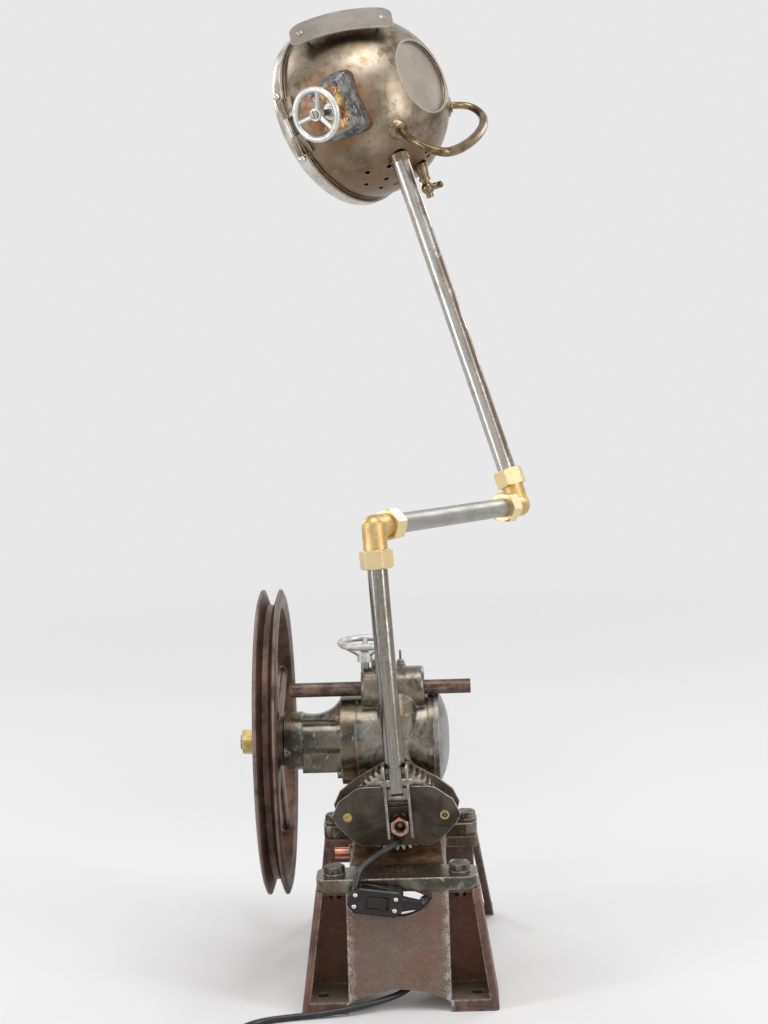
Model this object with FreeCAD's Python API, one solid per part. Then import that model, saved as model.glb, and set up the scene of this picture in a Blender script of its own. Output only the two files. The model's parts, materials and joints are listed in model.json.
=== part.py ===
import FreeCAD, Part
import os
from math import sin, cos, tan, asin, radians, pi, sqrt

# Pipe table lamp on an old cast pump: every piece is written to parts/ as its own solid.
# Millimetres, +X right, +Y away from the viewer, +Z up.
# The origin lies on the ground, in the middle of the four foot bolt holes of the stand.

os.makedirs("parts", exist_ok=True)
Vector = FreeCAD.Vector
Placement = FreeCAD.Placement
Rotation = FreeCAD.Rotation
X = Vector(1, 0, 0)
Y = Vector(0, 1, 0)
Z = Vector(0, 0, 1)

# Fits and clearances
running_fit = 0.05          # radial play of a shaft in its bore
screw_play = 0.05           # radial play of a screw or pin in its hole
joint_gap = 0.3             # gap between faces that move past each other

# Cast iron stand
stand_height = 126.0
stand_top_half = 87.0
stand_foot_half = 105.0
stand_top_front = -140.0
stand_foot_front = -166.0
stand_top_rear = 97.0
stand_foot_rear = 169.0
stand_wall = 10.0
stand_rib = 8.0
stand_corner_round = 6.0
pocket_roof = 6.0           # thickness of the deck over the front pockets
pocket_roof_front = -132.0
pad_height = 12.0
pocket_back = -105.0        # front face of the wall behind the front pockets
panel_half = 54.5           # half width of the proud front panel
deck_thickness = 12.0
deck_half = 52.0
rear_deck_front = 57.0
rear_wall_depth = 12.0
rear_pad_front = 120.0
rear_pad_half = 94.0
rear_web_front = 66.0
foot_bolt_x = 83.0
foot_bolt_y = 138.0
foot_bolt_hole = 13.0
arch_half = 54.0
arch_spring = 10.0
arch_crown = 24.0
rear_arch_half = 46.0
rear_arch_spring = 16.0
rear_arch_crown = 62.0
window_centre = 2.0
window_half = 35.0
window_depth = 27.0
window_shoulder = 8.0
web_slot_x = 66.0
web_slot_z = 92.0
web_slot_length = 22.0
web_slot_height = 9.0

# Pump housing
flange_thickness = 14.0
flange_front_half = 86.0
flange_rear_half = 88.0
flange_front = -142.0
flange_front_depth = 46.0
flange_rear = 108.0
flange_rear_depth = 46.0
flange_waist_half = 52.0
lug_round = 13.0
pump_bolt_front_x = 67.0
pump_bolt_front_y = -119.0
pump_bolt_rear_x = 75.0
pump_bolt_rear_y = 84.0
pump_bolt_radius = 6.0
pump_bolt_across = 20.0
pump_bolt_head = 8.0
pump_washer_radius = 12.0
pump_washer_thickness = 1.5
pedestal_foot_half = 50.0
pedestal_top_half = 40.5
pedestal_flare = 4.0
pedestal_flare_front = 62.0
pedestal_flare_height = 15.0
flare_inset = 2.2            # keeps the top of the flare inside the leaning sides
pedestal_front = -38.0
pedestal_rear = 64.0
pedestal_top = 212.0
pedestal_top_rear = 54.0
shaft_y = 16.0
shaft_z = 254.0
body_radius = 50.0
body_left = -42.0
body_right = 44.0
body_bore = 40.0
body_rim = 52.6
body_rim_width = 7.0
column_x = 3.0
column_foot_radius = 42.0
column_foot_y = 8.0
column_foot_z = 200.0
column_neck_radius = 21.5
column_neck_y = -16.0
column_neck_z = 292.0
boss_radius = 24.0
boss_left = -36.0
boss_right = 34.0
boss_round = 4.5
rod_y = 4.0
rod_z = 314.0

# Bearing housing, shaft and pulley
shaft_radius = 10.0
bush_wall = 4.0
bush_length = 26.0
disc_radius = 50.0
disc_thickness = 18.0
barrel_radius = 25.0
barrel_length = 43.0
collar_radius = 32.5
collar_length = 20.0
oil_box_half = 23.0
oil_box_drop = 32.0
gusset_thickness = 10.0
housing_screw_circle = 45.0
housing_screw_radius = 2.5
housing_screw_across = 8.0
housing_screw_head = 5.0
housing_screw_depth = 10.0
pulley_radius = 169.5
pulley_x = -134.0
pulley_rim_half = 13.0
pulley_tip_half = 10.8
pulley_lip = 2.0
pulley_rim_height = 20.0
groove_depth = 17.0
groove_floor_half = 3.0
pulley_hub_radius = 28.0
pulley_hub_length = 31.5
pulley_hub_gap = 1.5        # hub to the collar of the bearing housing
pulley_spokes = 5
spoke_root = 30.0
spoke_tip = 20.0
spoke_thickness = 10.0
key_width = 6.0
key_length = 26.0
shaft_nut_across = 25.5
shaft_nut_length = 12.5
shaft_nut_bore = 8.0
shaft_washer_radius = 16.0
shaft_washer_thickness = 3.0
shaft_inner_end = 30.0

# Things on top of the housing
rod_radius = 8.0
rod_left = -115.0
rod_right = 85.0
clamp_x = -31.0
clamp_spindle_radius = 4.6
clamp_hub_radius = 8.5
clamp_hub_z = 345.0
clamp_hub_length = 11.0
clamp_wheel_z = 366.0
clamp_wheel_radius = 30.0
wheel_tube = 3.8
oiler_x = 8.0
oiler_y = 17.0
oiler_top = 343.0
fitting_x = -17.0
fitting_across = 13.0
fitting_top = 345.0
dome_wall = 2.5
dome_rise = 10.5
dome_rim_width = 5.0
dome_spigot = 4.0
dome_play = 0.2
stub_y = -20.0
stub_z = 133.5
stub_radius = 6.25
stub_bore = 4.8
stub_end = -71.0
stub_boss_radius = 9.5
stub_boss_width = 3.0

# Gear case and clevis
plate_front = -76.0
plate_thickness = 3.0
plate_half = 70.0
plate_mid_z = 190.5
plate_top_z = 222.5
plate_bottom_z = 157.0
notch_half = 12.5
notch_floor = 205.0
back_plate_thickness = 4.0
back_plate_top = 241.0
tie_x = 52.5
tie_z = 190.0
tie_radius = 4.8
tie_bore = 3.3
tie_proud = 1.5
gear_z = 196.0
gear_teeth = 40
gear_tip = 46.5
gear_root = 41.5
gear_front = -70.0
gear_back = -44.0
gear_shaft_radius = 8.0
gear_shaft_front = -72.5
gear_shaft_back = -10.0
pivot = Vector(1.6, -88.0, 229.8)
clevis_lean = 3.26          # degrees to the left
mast_lean = 6.67            # degrees backwards
cheek_thickness = 2.5
cheek_inner_half = 11.3
cheek_reach = 14.0          # in front of the pivot
cheek_top = 22.0
clevis_bottom = -57.7
web_thickness = 3.0
web_top = -29.0
nut_drop = 46.0             # nut axis below the pivot
lock_nut_across = 19.0
lock_nut_length = 20.0
lock_washer_thickness = 2.0
stud_radius = 6.0
pin_radius = 3.0
pin_head = 5.0
pin_head_height = 3.0
tongue_half = 6.5
tongue_depth = 7.0
tongue_drop = 14.0
tongue_top = 17.0

# Pipes and compression elbows
pipe_radius = 11.0
pipe_bore = 9.0
pipe_foot = 22.6            # pipe end above the clevis pin
mast_length = 276.7         # clevis pin to the corner of the lower elbow
arm_length = 351.8          # corner to corner
upper_length = 437.7        # corner of the upper elbow to the head's collar
arm_turn = 62.4             # degrees about the mast, from the clevis pin
upper_lean = 15.7           # degrees about the arm, from the mast's direction
pipe_stop = 15.0            # pipe end to the elbow's corner
elbow_radius = 13.2
elbow_leg = 30.0
nut_start = 24.5
nut_end = 45.0
pipe_nut_across = 32.0
olive_radius = 12.9
olive_length = 5.2
olive_seat = 30.3
spigot_length = 30.0

# Lamp head: its own frame has +Z out of the mouth and its origin at the middle of the round shell
head_pipe_end = Vector(48.84041, -95.07411, -57.81698)    # end of the pipe's length in the head's frame
head_azimuth = 56.0         # mouth turned from straight away towards the left
head_depression = 20.16     # mouth below the level
head_roll = 7.08
shell_radius = 113.0
shell_wall = 1.6
shell_front = 24.6
shell_back = -102.0
back_rim = 2.6
back_recess = 3.0
lip_radius = 115.0
lip_thickness = 2.4
bezel_depth = 21.7
bezel_wall = 2.0
bezel_round = 15.0
mouth_radius = 97.0
glass_radius = 99.5
glass_thickness = 3.0
clip_depth = 2.5
holder_radius = 20.0
holder_length = 48.0
bulb_radius = 30.0
bulb_neck = 14.0
bulb_centre = -4.0
bulb_wall = 1.2
hinge_x = 118.8
hinge_z = 26.5
hinge_half = 36.0
hinge_knuckle = 12.0
hinge_barrel = 3.2
hinge_pin_radius = 1.6
hinge_ball = 5.0
leaf_thickness = 1.8
box_y = -2.0
box_z = -34.0
box_length_half = 41.0      # half of the foot, along the head's upward axis
box_width_half = 35.0       # half of the foot, along the axis of the mouth
box_corner = 14.0
box_shoulder_x = 101.0
box_shoulder_step = 2.0     # how much the shoulder is smaller than the foot
box_top_x = 111.0
box_top_step = 11.0
box_wall = 4.0
box_recess = 1.5
box_rim = 4.5               # width of the rim round the sunk face
box_screw_length = 18.5     # half distances between the four screws
box_screw_width = 15.5
gland_radius = 10.0
gland_length = 8.0
spindle_radius = 4.0
head_wheel_x = 143.0
head_wheel_radius = 33.5
head_wheel_z = -34.0
head_wheel_y = -4.0
handle_radius = 5.0
rosette_radius = 9.0
rosette_thickness = 3.0
strip_width = 48.0
strip_thickness = 2.0
strip_bend = 211.0
strip_height = 123.2
strip_front = 71.0
strip_back = -57.0
strip_rivet_front = 57.0
strip_rivet_back = -43.0
strip_angle = 62.3
strip_tilt = -30.4
strip_skew = -23.7
tap_radius = 8.0
vent_radius = 3.4
collar_wall = 2.0
collar_length_out = 9.0

# Mains lead
cord_diameter = 7.0
cord_radius = cord_diameter / 2.0
cord_floor = 3.7            # height of the lead's axis where it lies on the ground
cord_share = 0.45           # arc tangent length as a share of the shorter run
bush_radius = 5.8
bush_x = 1.5
bush_z = 165.5
bush_length_out = 13.0
switch_centre = Vector(-23.0, -157.5, 122.0)
switch_droop = 8.0          # degrees down to the right
switch_half_length = 29.0
switch_half_height = 14.0
switch_half_depth = 10.5
well_end = 14.2             # room for the rocker's raised end as it is pressed in
well_depth = 6.5
coil_centre = Vector(-126.0, -346.0, 0.0)
coil_tail = 36.0            # straight end of the coil up to the plug
coil_inner = 33.5
coil_pitch = 7.8
coil_turns = 2
plug_length = 40.0
plug_half_width = 17.0
plug_half_height = 11.0
plug_pin_radius = 2.4
plug_pin_length = 19.0
plug_pin_half_pitch = 9.5


def save(name, shape):
    """Write one named piece and print what it holds."""
    if not shape.isValid():
        print("invalid shape:", name)
    print("%-24s solids %d volume %.0f" % (name, len(shape.Solids), shape.Volume))
    shape.exportStep("parts/%s.step" % name)


def block(x0, x1, y0, y1, z0, z1):
    return Part.makeBox(x1 - x0, y1 - y0, z1 - z0, Vector(x0, y0, z0))


def cylinder(radius, start, axis, length):
    return Part.makeCylinder(radius, length, start, axis)


def ring(outer, inner, start, axis, length):
    return cylinder(outer, start, axis, length).cut(cylinder(inner, start, axis, length))


def prism(points, push):
    """Straight prism over a closed outline of points, pushed along a vector."""
    return Part.Face(Part.makePolygon(points + [points[0]])).extrude(push)


def turned(profile):
    """Solid of revolution about Z from (radius, height) points.

    A point of four numbers is reached by an arc: its end, then a point in the arc's middle.
    """
    edges = []
    last = Vector(profile[-1][0], 0, profile[-1][1])
    for item in profile:
        point = Vector(item[0], 0, item[1])
        if len(item) == 4:
            edges.append(Part.Arc(last, Vector(item[2], 0, item[3]), point).toShape())
        elif (point - last).Length > 1e-6:
            edges.append(Part.LineSegment(last, point).toShape())
        last = point
    return Part.Face(Part.Wire(edges)).revolve(Vector(0, 0, 0), Z, 360)


def hexagon(across, start, axis, length, turn=0.0):
    """Hexagonal bar whose corners are turned off lightly at both ends."""
    corner = across / 2.0 / cos(radians(30))
    points = [Vector(corner * cos(radians(60 * i + turn)), corner * sin(radians(60 * i + turn)), 0)
              for i in range(6)]
    chamfer = corner - across / 2.0
    barrel = turned([(0, 0), (corner - chamfer, 0), (corner, chamfer * 0.58),
                     (corner, length - chamfer * 0.58), (corner - chamfer, length), (0, length)])
    bar = prism(points, Vector(0, 0, length)).common(barrel)
    return moved(bar, Placement(start, Rotation(Z, axis)))


def moved(shape, frame):
    """Copy of a shape carried from the common frame into a local one."""
    result = shape.copy()
    result.Placement = frame.multiply(result.Placement)
    return result


def frame_of(origin, x_axis, z_axis):
    """Placement whose local X and Z axes point along the given directions."""
    return Placement(origin, Rotation(x_axis, z_axis.cross(x_axis), z_axis, "ZXY"))


def slab_outline(x0, x1, y0, y1, z):
    return Part.makePolygon([Vector(x0, y0, z), Vector(x1, y0, z), Vector(x1, y1, z), Vector(x0, y1, z),
                             Vector(x0, y0, z)])


def tapered(foot, top, z0, z1):
    """Block between two level rectangles (x0, x1, y0, y1), whose sides slope."""
    return Part.makeLoft([slab_outline(*foot, z0), slab_outline(*top, z1)], True, True)


def rounded_block(x0, x1, y0, y1, z0, z1, radius):
    """Block whose four upright edges are rounded."""
    solid = block(x0, x1, y0, y1, z0, z1)
    upright = [e for e in solid.Edges if abs(e.Vertexes[0].Z - e.Vertexes[-1].Z) > 1e-6]
    return solid.makeFillet(radius, upright)


def hand_wheel(radius, tube, hub_radius, hub_low, hub_high, bore, root):
    """Wheel with three round spokes about Z; its rim lies at z = 0, the spokes leave the hub at root."""
    wheel = Part.makeTorus(radius - tube, tube)
    wheel = wheel.fuse(cylinder(hub_radius, Vector(0, 0, hub_low), Z, hub_high - hub_low))
    for i in range(3):
        angle = radians(90 + 120 * i)
        outward = Vector(cos(angle), sin(angle), 0)
        start = outward * (hub_radius * 0.6) + Vector(0, 0, root)
        run = outward * (radius - tube) - start
        wheel = wheel.fuse(cylinder(tube * 0.8, start, run, run.Length))
    return wheel.cut(cylinder(bore, Vector(0, 0, hub_low - 1), Z, hub_high - hub_low + 2))


# Cast iron stand. Front frame with a sloped proud panel between two pockets, a deck that carries
# the pump, and an open rear frame with a web, two sloped ribs, a rear wall and two foot pads.

def front_frame():
    wall_back = pocket_back + stand_wall
    frame = tapered((-stand_foot_half, stand_foot_half, stand_foot_front, wall_back),
                    (-stand_top_half, stand_top_half, stand_top_front, wall_back), 0, stand_height)
    low = pad_height
    high = stand_height - pocket_roof
    corners = [e for e in frame.Edges if abs(e.Vertexes[0].Z - e.Vertexes[-1].Z) > 1
               and e.Vertexes[0].Y < stand_top_front + 1 and e.Vertexes[-1].Y < stand_top_front + 1]
    frame = frame.makeFillet(stand_corner_round, corners)
    side_slope = (stand_foot_half - stand_top_half) / stand_height
    for side in (-1, 1):
        outer_low = side * (stand_foot_half - side_slope * low - stand_rib)
        outer_high = side * (stand_foot_half - side_slope * high - stand_rib)
        pocket = [Vector(side * panel_half, pocket_back, low), Vector(outer_low, pocket_back, low),
                  Vector(outer_high, pocket_back, high), Vector(side * panel_half, pocket_back, high)]
        frame = frame.cut(prism(pocket, Vector(0, 2 * stand_foot_front, 0)))
        x0, x1 = sorted((side * panel_half, outer_high))
        frame = frame.cut(block(x0, x1, 2 * stand_foot_front, pocket_roof_front, high - 1, stand_height + 1))
    inner = panel_half - stand_wall
    hollow = tapered((-inner, inner, stand_foot_front + stand_wall, wall_back + 1),
                     (-inner, inner, stand_top_front + stand_wall, wall_back + 1), 0, stand_height)
    return frame.cut(hollow)


def arch_tool(half, spring, crown, y0, y1):
    """Opening with upright sides and a round crown, pushed along Y."""
    left, right, below = Vector(-half, y0, spring), Vector(half, y0, spring), -5
    edges = [Part.Arc(left, Vector(0, y0, crown), right).toShape(),
             Part.makePolygon([right, Vector(half, y0, below), Vector(-half, y0, below), left])]
    return Part.Face(Part.Wire(edges[0].Edges + edges[1].Edges)).extrude(Vector(0, y1 - y0, 0))


def window_tool():
    """D-shaped opening at the top of the front panel, where the lead goes in."""
    front = 2 * stand_foot_front
    left = window_centre - window_half
    right = window_centre + window_half
    shoulder = stand_height - window_shoulder
    above = stand_height + 5
    bow = Part.Arc(Vector(left, front, shoulder), Vector(window_centre, front, stand_height - window_depth),
                   Vector(right, front, shoulder)).toShape()
    sides = Part.makePolygon([Vector(right, front, shoulder), Vector(right, front, above),
                              Vector(left, front, above), Vector(left, front, shoulder)])
    return Part.Face(Part.Wire([bow] + sides.Edges)).extrude(Vector(0, pocket_back - front, 0))


def rear_rib(side):
    foot_x = side * stand_foot_half
    top_x = side * stand_top_half
    foot = slab_outline(foot_x, foot_x - side * stand_rib, stand_foot_rear - rear_wall_depth, stand_foot_rear, 0)
    top = slab_outline(top_x, top_x - side * stand_rib, rear_deck_front + 9, stand_top_rear, stand_height)
    return Part.makeLoft([foot, top], True, True)


def rear_frame():
    low = stand_height - deck_thickness
    pieces = [block(-deck_half, deck_half, pocket_back, rear_deck_front + 5, low, stand_height),
              block(-stand_top_half, stand_top_half, rear_deck_front, stand_top_rear, low, stand_height)]
    web_half = stand_top_half - stand_rib / 2.0
    pieces.append(block(-web_half, web_half, rear_web_front, rear_web_front + stand_wall, 0, stand_height - 1))
    wall = [Vector(-panel_half, stand_foot_rear, 0), Vector(-panel_half, stand_foot_rear - rear_wall_depth, 0),
            Vector(-panel_half, stand_top_rear - rear_wall_depth, low + 2),
            Vector(-panel_half, stand_top_rear, low + 2)]
    pieces.append(prism(wall, Vector(2 * panel_half, 0, 0)))
    for side in (-1, 1):
        pieces.append(rear_rib(side))
        inner = side * (panel_half - stand_wall)
        edge_y = stand_foot_rear - rear_wall_depth
        pad = [Vector(inner, rear_pad_front, 0), Vector(side * rear_pad_half, rear_pad_front, 0),
               Vector(side * rear_pad_half, edge_y, 0), Vector(side * (stand_foot_half - 1), edge_y, 0),
               Vector(side * (stand_foot_half - 1), stand_foot_rear, 0), Vector(inner, stand_foot_rear, 0)]
        pieces.append(prism(pad, Vector(0, 0, pad_height)))
    return pieces


def web_slot(side):
    half = (web_slot_length - web_slot_height) / 2.0
    radius = web_slot_height / 2.0
    y = rear_web_front - 1
    depth = stand_wall + 2
    x = side * web_slot_x
    slot = block(x - half, x + half, y, y + depth, web_slot_z - radius, web_slot_z + radius)
    for end in (x - half, x + half):
        slot = slot.fuse(cylinder(radius, Vector(end, y, web_slot_z), Y, depth))
    return slot


def stand_casting():
    stand = front_frame().multiFuse(rear_frame())
    tools = [window_tool(),
             arch_tool(arch_half, arch_spring, arch_crown, 2 * stand_foot_front, pocket_back - 15),
             arch_tool(rear_arch_half, rear_arch_spring, rear_arch_crown, rear_web_front - 5,
                       stand_foot_rear + 5)]
    bolts = [(pump_bolt_front_x, pump_bolt_front_y), (pump_bolt_rear_x, pump_bolt_rear_y)]
    for side in (-1, 1):
        tools.append(web_slot(side))
        for y in (-foot_bolt_y, foot_bolt_y):
            tools.append(cylinder(foot_bolt_hole / 2.0, Vector(side * foot_bolt_x, y, -1), Z, pad_height + 2))
        for x, y in bolts:
            tools.append(cylinder(pump_bolt_radius + screw_play,
                                  Vector(side * x, y, stand_height - deck_thickness - 1), Z,
                                  deck_thickness + 2))
    return stand.cut(Part.makeCompound(tools))


save("stand_casting", stand_casting())


# Pump housing. Base flange with four lugs, tapered pedestal, round body along X, and a column
# that leans forward and carries the cross boss.

flange_top = stand_height + flange_thickness
flange_rear_front = flange_rear - flange_rear_depth


def round_loft(x, sections):
    """Loft through level circles given as (radius, y, z)."""
    wires = [Part.Wire(Part.makeCircle(radius, Vector(x, y, z), Z)) for radius, y, z in sections]
    return Part.makeLoft(wires, True, True)


def pump_housing():
    front_bar = rounded_block(-flange_front_half, flange_front_half, flange_front,
                              flange_front + flange_front_depth, stand_height, flange_top, lug_round)
    rear_bar = rounded_block(-flange_rear_half, flange_rear_half, flange_rear_front, flange_rear,
                             stand_height, flange_top, lug_round)
    waist = block(-flange_waist_half, flange_waist_half, flange_front + flange_front_depth - 5,
                  flange_rear_front + 5, stand_height, flange_top)
    pedestal = tapered((-pedestal_foot_half, pedestal_foot_half, pedestal_front, pedestal_rear),
                       (-pedestal_top_half, pedestal_top_half, pedestal_front, pedestal_top_rear),
                       flange_top - 1, pedestal_top)
    sections = []
    for share in (0.0, 0.2, 0.45, 0.7, 1.0):
        spread = (1 - share) ** 2.2
        half = pedestal_foot_half - flare_inset + pedestal_flare * spread
        sections.append(slab_outline(-half, half, pedestal_front + 0.1 - pedestal_flare_front * spread,
                                     pedestal_rear - 2, flange_top - 1 + pedestal_flare_height * share))
    flare = Part.makeLoft(sections, True, True)
    body = cylinder(body_radius, Vector(body_left, shaft_y, shaft_z), X, body_right - body_left)
    rim = cylinder(body_rim, Vector(body_right - body_rim_width, shaft_y, shaft_z), X, body_rim_width)
    column = round_loft(column_x, [(column_foot_radius, column_foot_y, column_foot_z),
                                   (column_neck_radius, column_neck_y, column_neck_z)])
    neck = round_loft(column_x, [(column_neck_radius, column_neck_y, column_neck_z),
                                 (boss_radius * 0.8, rod_y - 4, rod_z)])
    boss = cylinder(boss_radius, Vector(boss_left, rod_y, rod_z), X, boss_right - boss_left)
    boss = boss.makeFillet(boss_round, [e for e in boss.Edges if abs(e.Vertexes[0].X - e.Vertexes[-1].X) < 1e-6])
    saddle = block(boss_left + 6, boss_right - 6, rod_y - 16, rod_y + 18, shaft_z + 30, rod_z)
    stub_boss = cylinder(stub_boss_radius, Vector(-flange_waist_half - stub_boss_width, stub_y, stub_z), X,
                         stub_boss_width)
    housing = front_bar.multiFuse([rear_bar, waist, pedestal, flare, body, rim, column, neck, boss, saddle,
                                   stub_boss])
    tools = [cylinder(body_bore, Vector(body_left - 1, shaft_y, shaft_z), X, body_right - body_left + 2),
             cylinder(body_rim + dome_play, Vector(body_right, shaft_y, shaft_z), X, dome_rim_width),
             cylinder(rod_radius + running_fit, Vector(boss_left - 1, rod_y, rod_z), X,
                      boss_right - boss_left + 2),
             cylinder(clamp_spindle_radius + screw_play, Vector(clamp_x, rod_y, rod_z), Z, 2 * boss_radius),
             cylinder(gear_shaft_radius + running_fit, Vector(0, pedestal_front - 1, gear_z), Y,
                      gear_shaft_back - pedestal_front + 1 + joint_gap),
             cylinder(stub_radius + screw_play,
                      Vector(-flange_waist_half - stub_boss_width - 1, stub_y, stub_z), X, 14)]
    for side in (-1, 1):
        for x, y in ((pump_bolt_front_x, pump_bolt_front_y), (pump_bolt_rear_x, pump_bolt_rear_y)):
            tools.append(cylinder(pump_bolt_radius + screw_play, Vector(side * x, y, stand_height - 1), Z,
                                  flange_thickness + 2))
    for y, z in housing_screw_places():
        tools.append(cylinder(housing_screw_radius + screw_play, Vector(body_left - 1, y, z), X,
                              housing_screw_depth + 1))
    return housing.cut(Part.makeCompound(tools))


def housing_screw_places():
    """Places (y, z) of the four screws of the bearing housing."""
    return [(shaft_y + housing_screw_circle * cos(radians(a)),
             shaft_z + housing_screw_circle * sin(radians(a))) for a in (45, 135, 225, 315)]


def pump_bolt(x, y):
    """Hexagon bolt with its washer: one bought part, head up."""
    washer = cylinder(pump_washer_radius, Vector(x, y, flange_top), Z, pump_washer_thickness)
    head = hexagon(pump_bolt_across, Vector(x, y, flange_top + pump_washer_thickness), Z, pump_bolt_head, 12)
    shank = cylinder(pump_bolt_radius, Vector(x, y, stand_height - deck_thickness - 1), Z,
                     flange_thickness + deck_thickness + pump_washer_thickness + 2)
    return washer.fuse(head).fuse(shank)


save("pump_housing", pump_housing())
save("pump_bolts", Part.makeCompound(
    [pump_bolt(side * x, y) for side in (-1, 1)
     for x, y in ((pump_bolt_front_x, pump_bolt_front_y), (pump_bolt_rear_x, pump_bolt_rear_y))]))


# Bearing housing left of the body: a disc against the body, a barrel, a collar at the outer
# end, an oil box below and a concave gusset on top. Two bushes carry the shaft.

disc_left = body_left - disc_thickness
barrel_left = disc_left - barrel_length
collar_left = barrel_left - collar_length

def on_shaft(x):
    return Vector(x, shaft_y, shaft_z)


def bearing_housing():
    disc = cylinder(disc_radius, on_shaft(disc_left), X, disc_thickness)
    barrel = cylinder(barrel_radius, on_shaft(barrel_left - 1), X, barrel_length + 2)
    collar = cylinder(collar_radius, on_shaft(collar_left), X, collar_length)
    box = block(barrel_left - 1, disc_left + 1, shaft_y - oil_box_half, shaft_y + oil_box_half,
                shaft_z - oil_box_drop, shaft_z)
    y = shaft_y - gusset_thickness / 2.0
    low_top = shaft_z + collar_radius - 1
    high_top = shaft_z + disc_radius - 1
    curve = Part.Arc(Vector(barrel_left - 1, y, low_top), Vector(barrel_left + 20, y, low_top - 1.5),
                     Vector(disc_left + 1, y, high_top)).toShape()
    sides = Part.makePolygon([Vector(disc_left + 1, y, high_top), Vector(disc_left + 1, y, shaft_z),
                              Vector(barrel_left - 1, y, shaft_z), Vector(barrel_left - 1, y, low_top)])
    gusset = Part.Face(Part.Wire([curve] + sides.Edges)).extrude(Vector(0, gusset_thickness, 0))
    housing = disc.multiFuse([barrel, collar, box, gusset])
    bush_radius_out = shaft_radius + bush_wall + screw_play
    tools = [cylinder(bush_radius_out, on_shaft(collar_left - 1), X, bush_length + 1),
             cylinder(bush_radius_out, on_shaft(body_left - bush_length), X, bush_length + 1),
             cylinder(shaft_radius + 1.5, on_shaft(collar_left), X, body_left - collar_left)]
    for y, z in housing_screw_places():
        tools.append(cylinder(housing_screw_radius + screw_play, Vector(disc_left - 1, y, z), X,
                              disc_thickness + 2))
    return housing.cut(Part.makeCompound(tools))


def housing_screw(y, z):
    head = hexagon(housing_screw_across, Vector(disc_left, y, z), X * -1, housing_screw_head)
    shank = cylinder(housing_screw_radius, Vector(disc_left - 1, y, z), X,
                     disc_thickness + housing_screw_depth)
    return head.fuse(shank)


def shaft_bush(x):
    return ring(shaft_radius + bush_wall, shaft_radius + running_fit, on_shaft(x), X, bush_length)


save("bearing_housing", bearing_housing())
save("bearing_housing_screws", Part.makeCompound([housing_screw(y, z) for y, z in housing_screw_places()]))
save("shaft_bushes", Part.makeCompound([shaft_bush(collar_left), shaft_bush(body_left - bush_length)]))


# Domed cover on the right end of the body, with a spigot in the bore.

def dome_cover():
    spigot = body_bore - dome_play
    inside = spigot - dome_wall
    rise = dome_rim_width + dome_rise
    profile = [(0, rise), (4, rise), (body_radius, dome_rim_width, body_radius * 0.62, rise * 0.82),
               (body_rim, dome_rim_width), (body_rim, 0), (spigot, 0), (spigot, -dome_spigot),
               (inside, -dome_spigot), (inside, dome_rim_width - dome_wall),
               (4, rise - dome_wall, inside * 0.62, (rise - dome_wall) * 0.82), (0, rise - dome_wall)]
    return moved(turned(profile), frame_of(on_shaft(body_right), Z * -1, X))


save("dome_cover", dome_cover())


# Shaft, V-belt pulley, key, washer and nut.

hub_right = collar_left - pulley_hub_gap
hub_left = hub_right - pulley_hub_length
washer_left = hub_left - shaft_washer_thickness
nut_left = washer_left - shaft_nut_length
key_left = hub_left + (pulley_hub_length - key_length) / 2.0


def key_block(play):
    half = key_width / 2.0 + play
    return block(key_left - play, key_left + key_length + play, shaft_y - half, shaft_y + half,
                 shaft_z + shaft_radius - half, shaft_z + shaft_radius + half)


def pump_shaft():
    shaft = cylinder(shaft_radius, on_shaft(hub_left + 0.5), X, shaft_inner_end - hub_left - 0.5)
    thread = cylinder(shaft_nut_bore, on_shaft(nut_left - 2), X, hub_left - nut_left + 4)
    return shaft.fuse(thread).cut(key_block(screw_play))


def pulley():
    rim_inner = pulley_radius - pulley_rim_height
    floor = pulley_radius - groove_depth
    lip_in = pulley_tip_half - pulley_lip
    rim = turned([(rim_inner, -pulley_tip_half), (rim_inner + 6, -pulley_rim_half),
                  (pulley_radius - 6, -pulley_rim_half), (pulley_radius, -pulley_tip_half),
                  (pulley_radius, -lip_in), (floor, -groove_floor_half), (floor, groove_floor_half),
                  (pulley_radius, lip_in), (pulley_radius, pulley_tip_half),
                  (pulley_radius - 6, pulley_rim_half), (rim_inner + 6, pulley_rim_half),
                  (rim_inner, pulley_tip_half)])
    wheel = moved(rim, frame_of(on_shaft(pulley_x), Z * -1, X))
    wheel = wheel.fuse(cylinder(pulley_hub_radius, on_shaft(hub_left), X, pulley_hub_length))
    for i in range(pulley_spokes):
        angle = 90 + 360.0 * i / pulley_spokes
        outward = Vector(0, cos(radians(angle)), sin(radians(angle)))
        spoke = []
        for distance, width in ((pulley_hub_radius * 0.7, spoke_root), (rim_inner + 2, spoke_tip)):
            oval = Part.Wire(Part.Ellipse(Vector(0, 0, 0), width / 2.0, spoke_thickness / 2.0).toShape())
            spoke.append(moved(oval, frame_of(on_shaft(pulley_x) + outward * distance,
                                              outward.cross(X), outward)))
        wheel = wheel.fuse(Part.makeLoft(spoke, True, True))
    wheel = wheel.cut(cylinder(shaft_radius + running_fit, on_shaft(hub_left - 1), X, pulley_hub_length + 2))
    return wheel.cut(key_block(screw_play))


def pulley_washer():
    return ring(shaft_washer_radius, shaft_nut_bore + screw_play, on_shaft(washer_left), X,
                shaft_washer_thickness)


def pulley_nut():
    nut = hexagon(shaft_nut_across, on_shaft(nut_left), X, shaft_nut_length, 8)
    return nut.cut(cylinder(shaft_nut_bore + screw_play, on_shaft(nut_left - 1), X, shaft_nut_length + 2))


save("pump_shaft", pump_shaft())
save("pulley", pulley())
save("pulley_fasteners", Part.makeCompound([pulley_nut(), pulley_washer(), key_block(0)]))


# On top: cross rod in its boss, clamp spindle with its handwheel, brass hexagon fitting, oiler.

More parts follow.
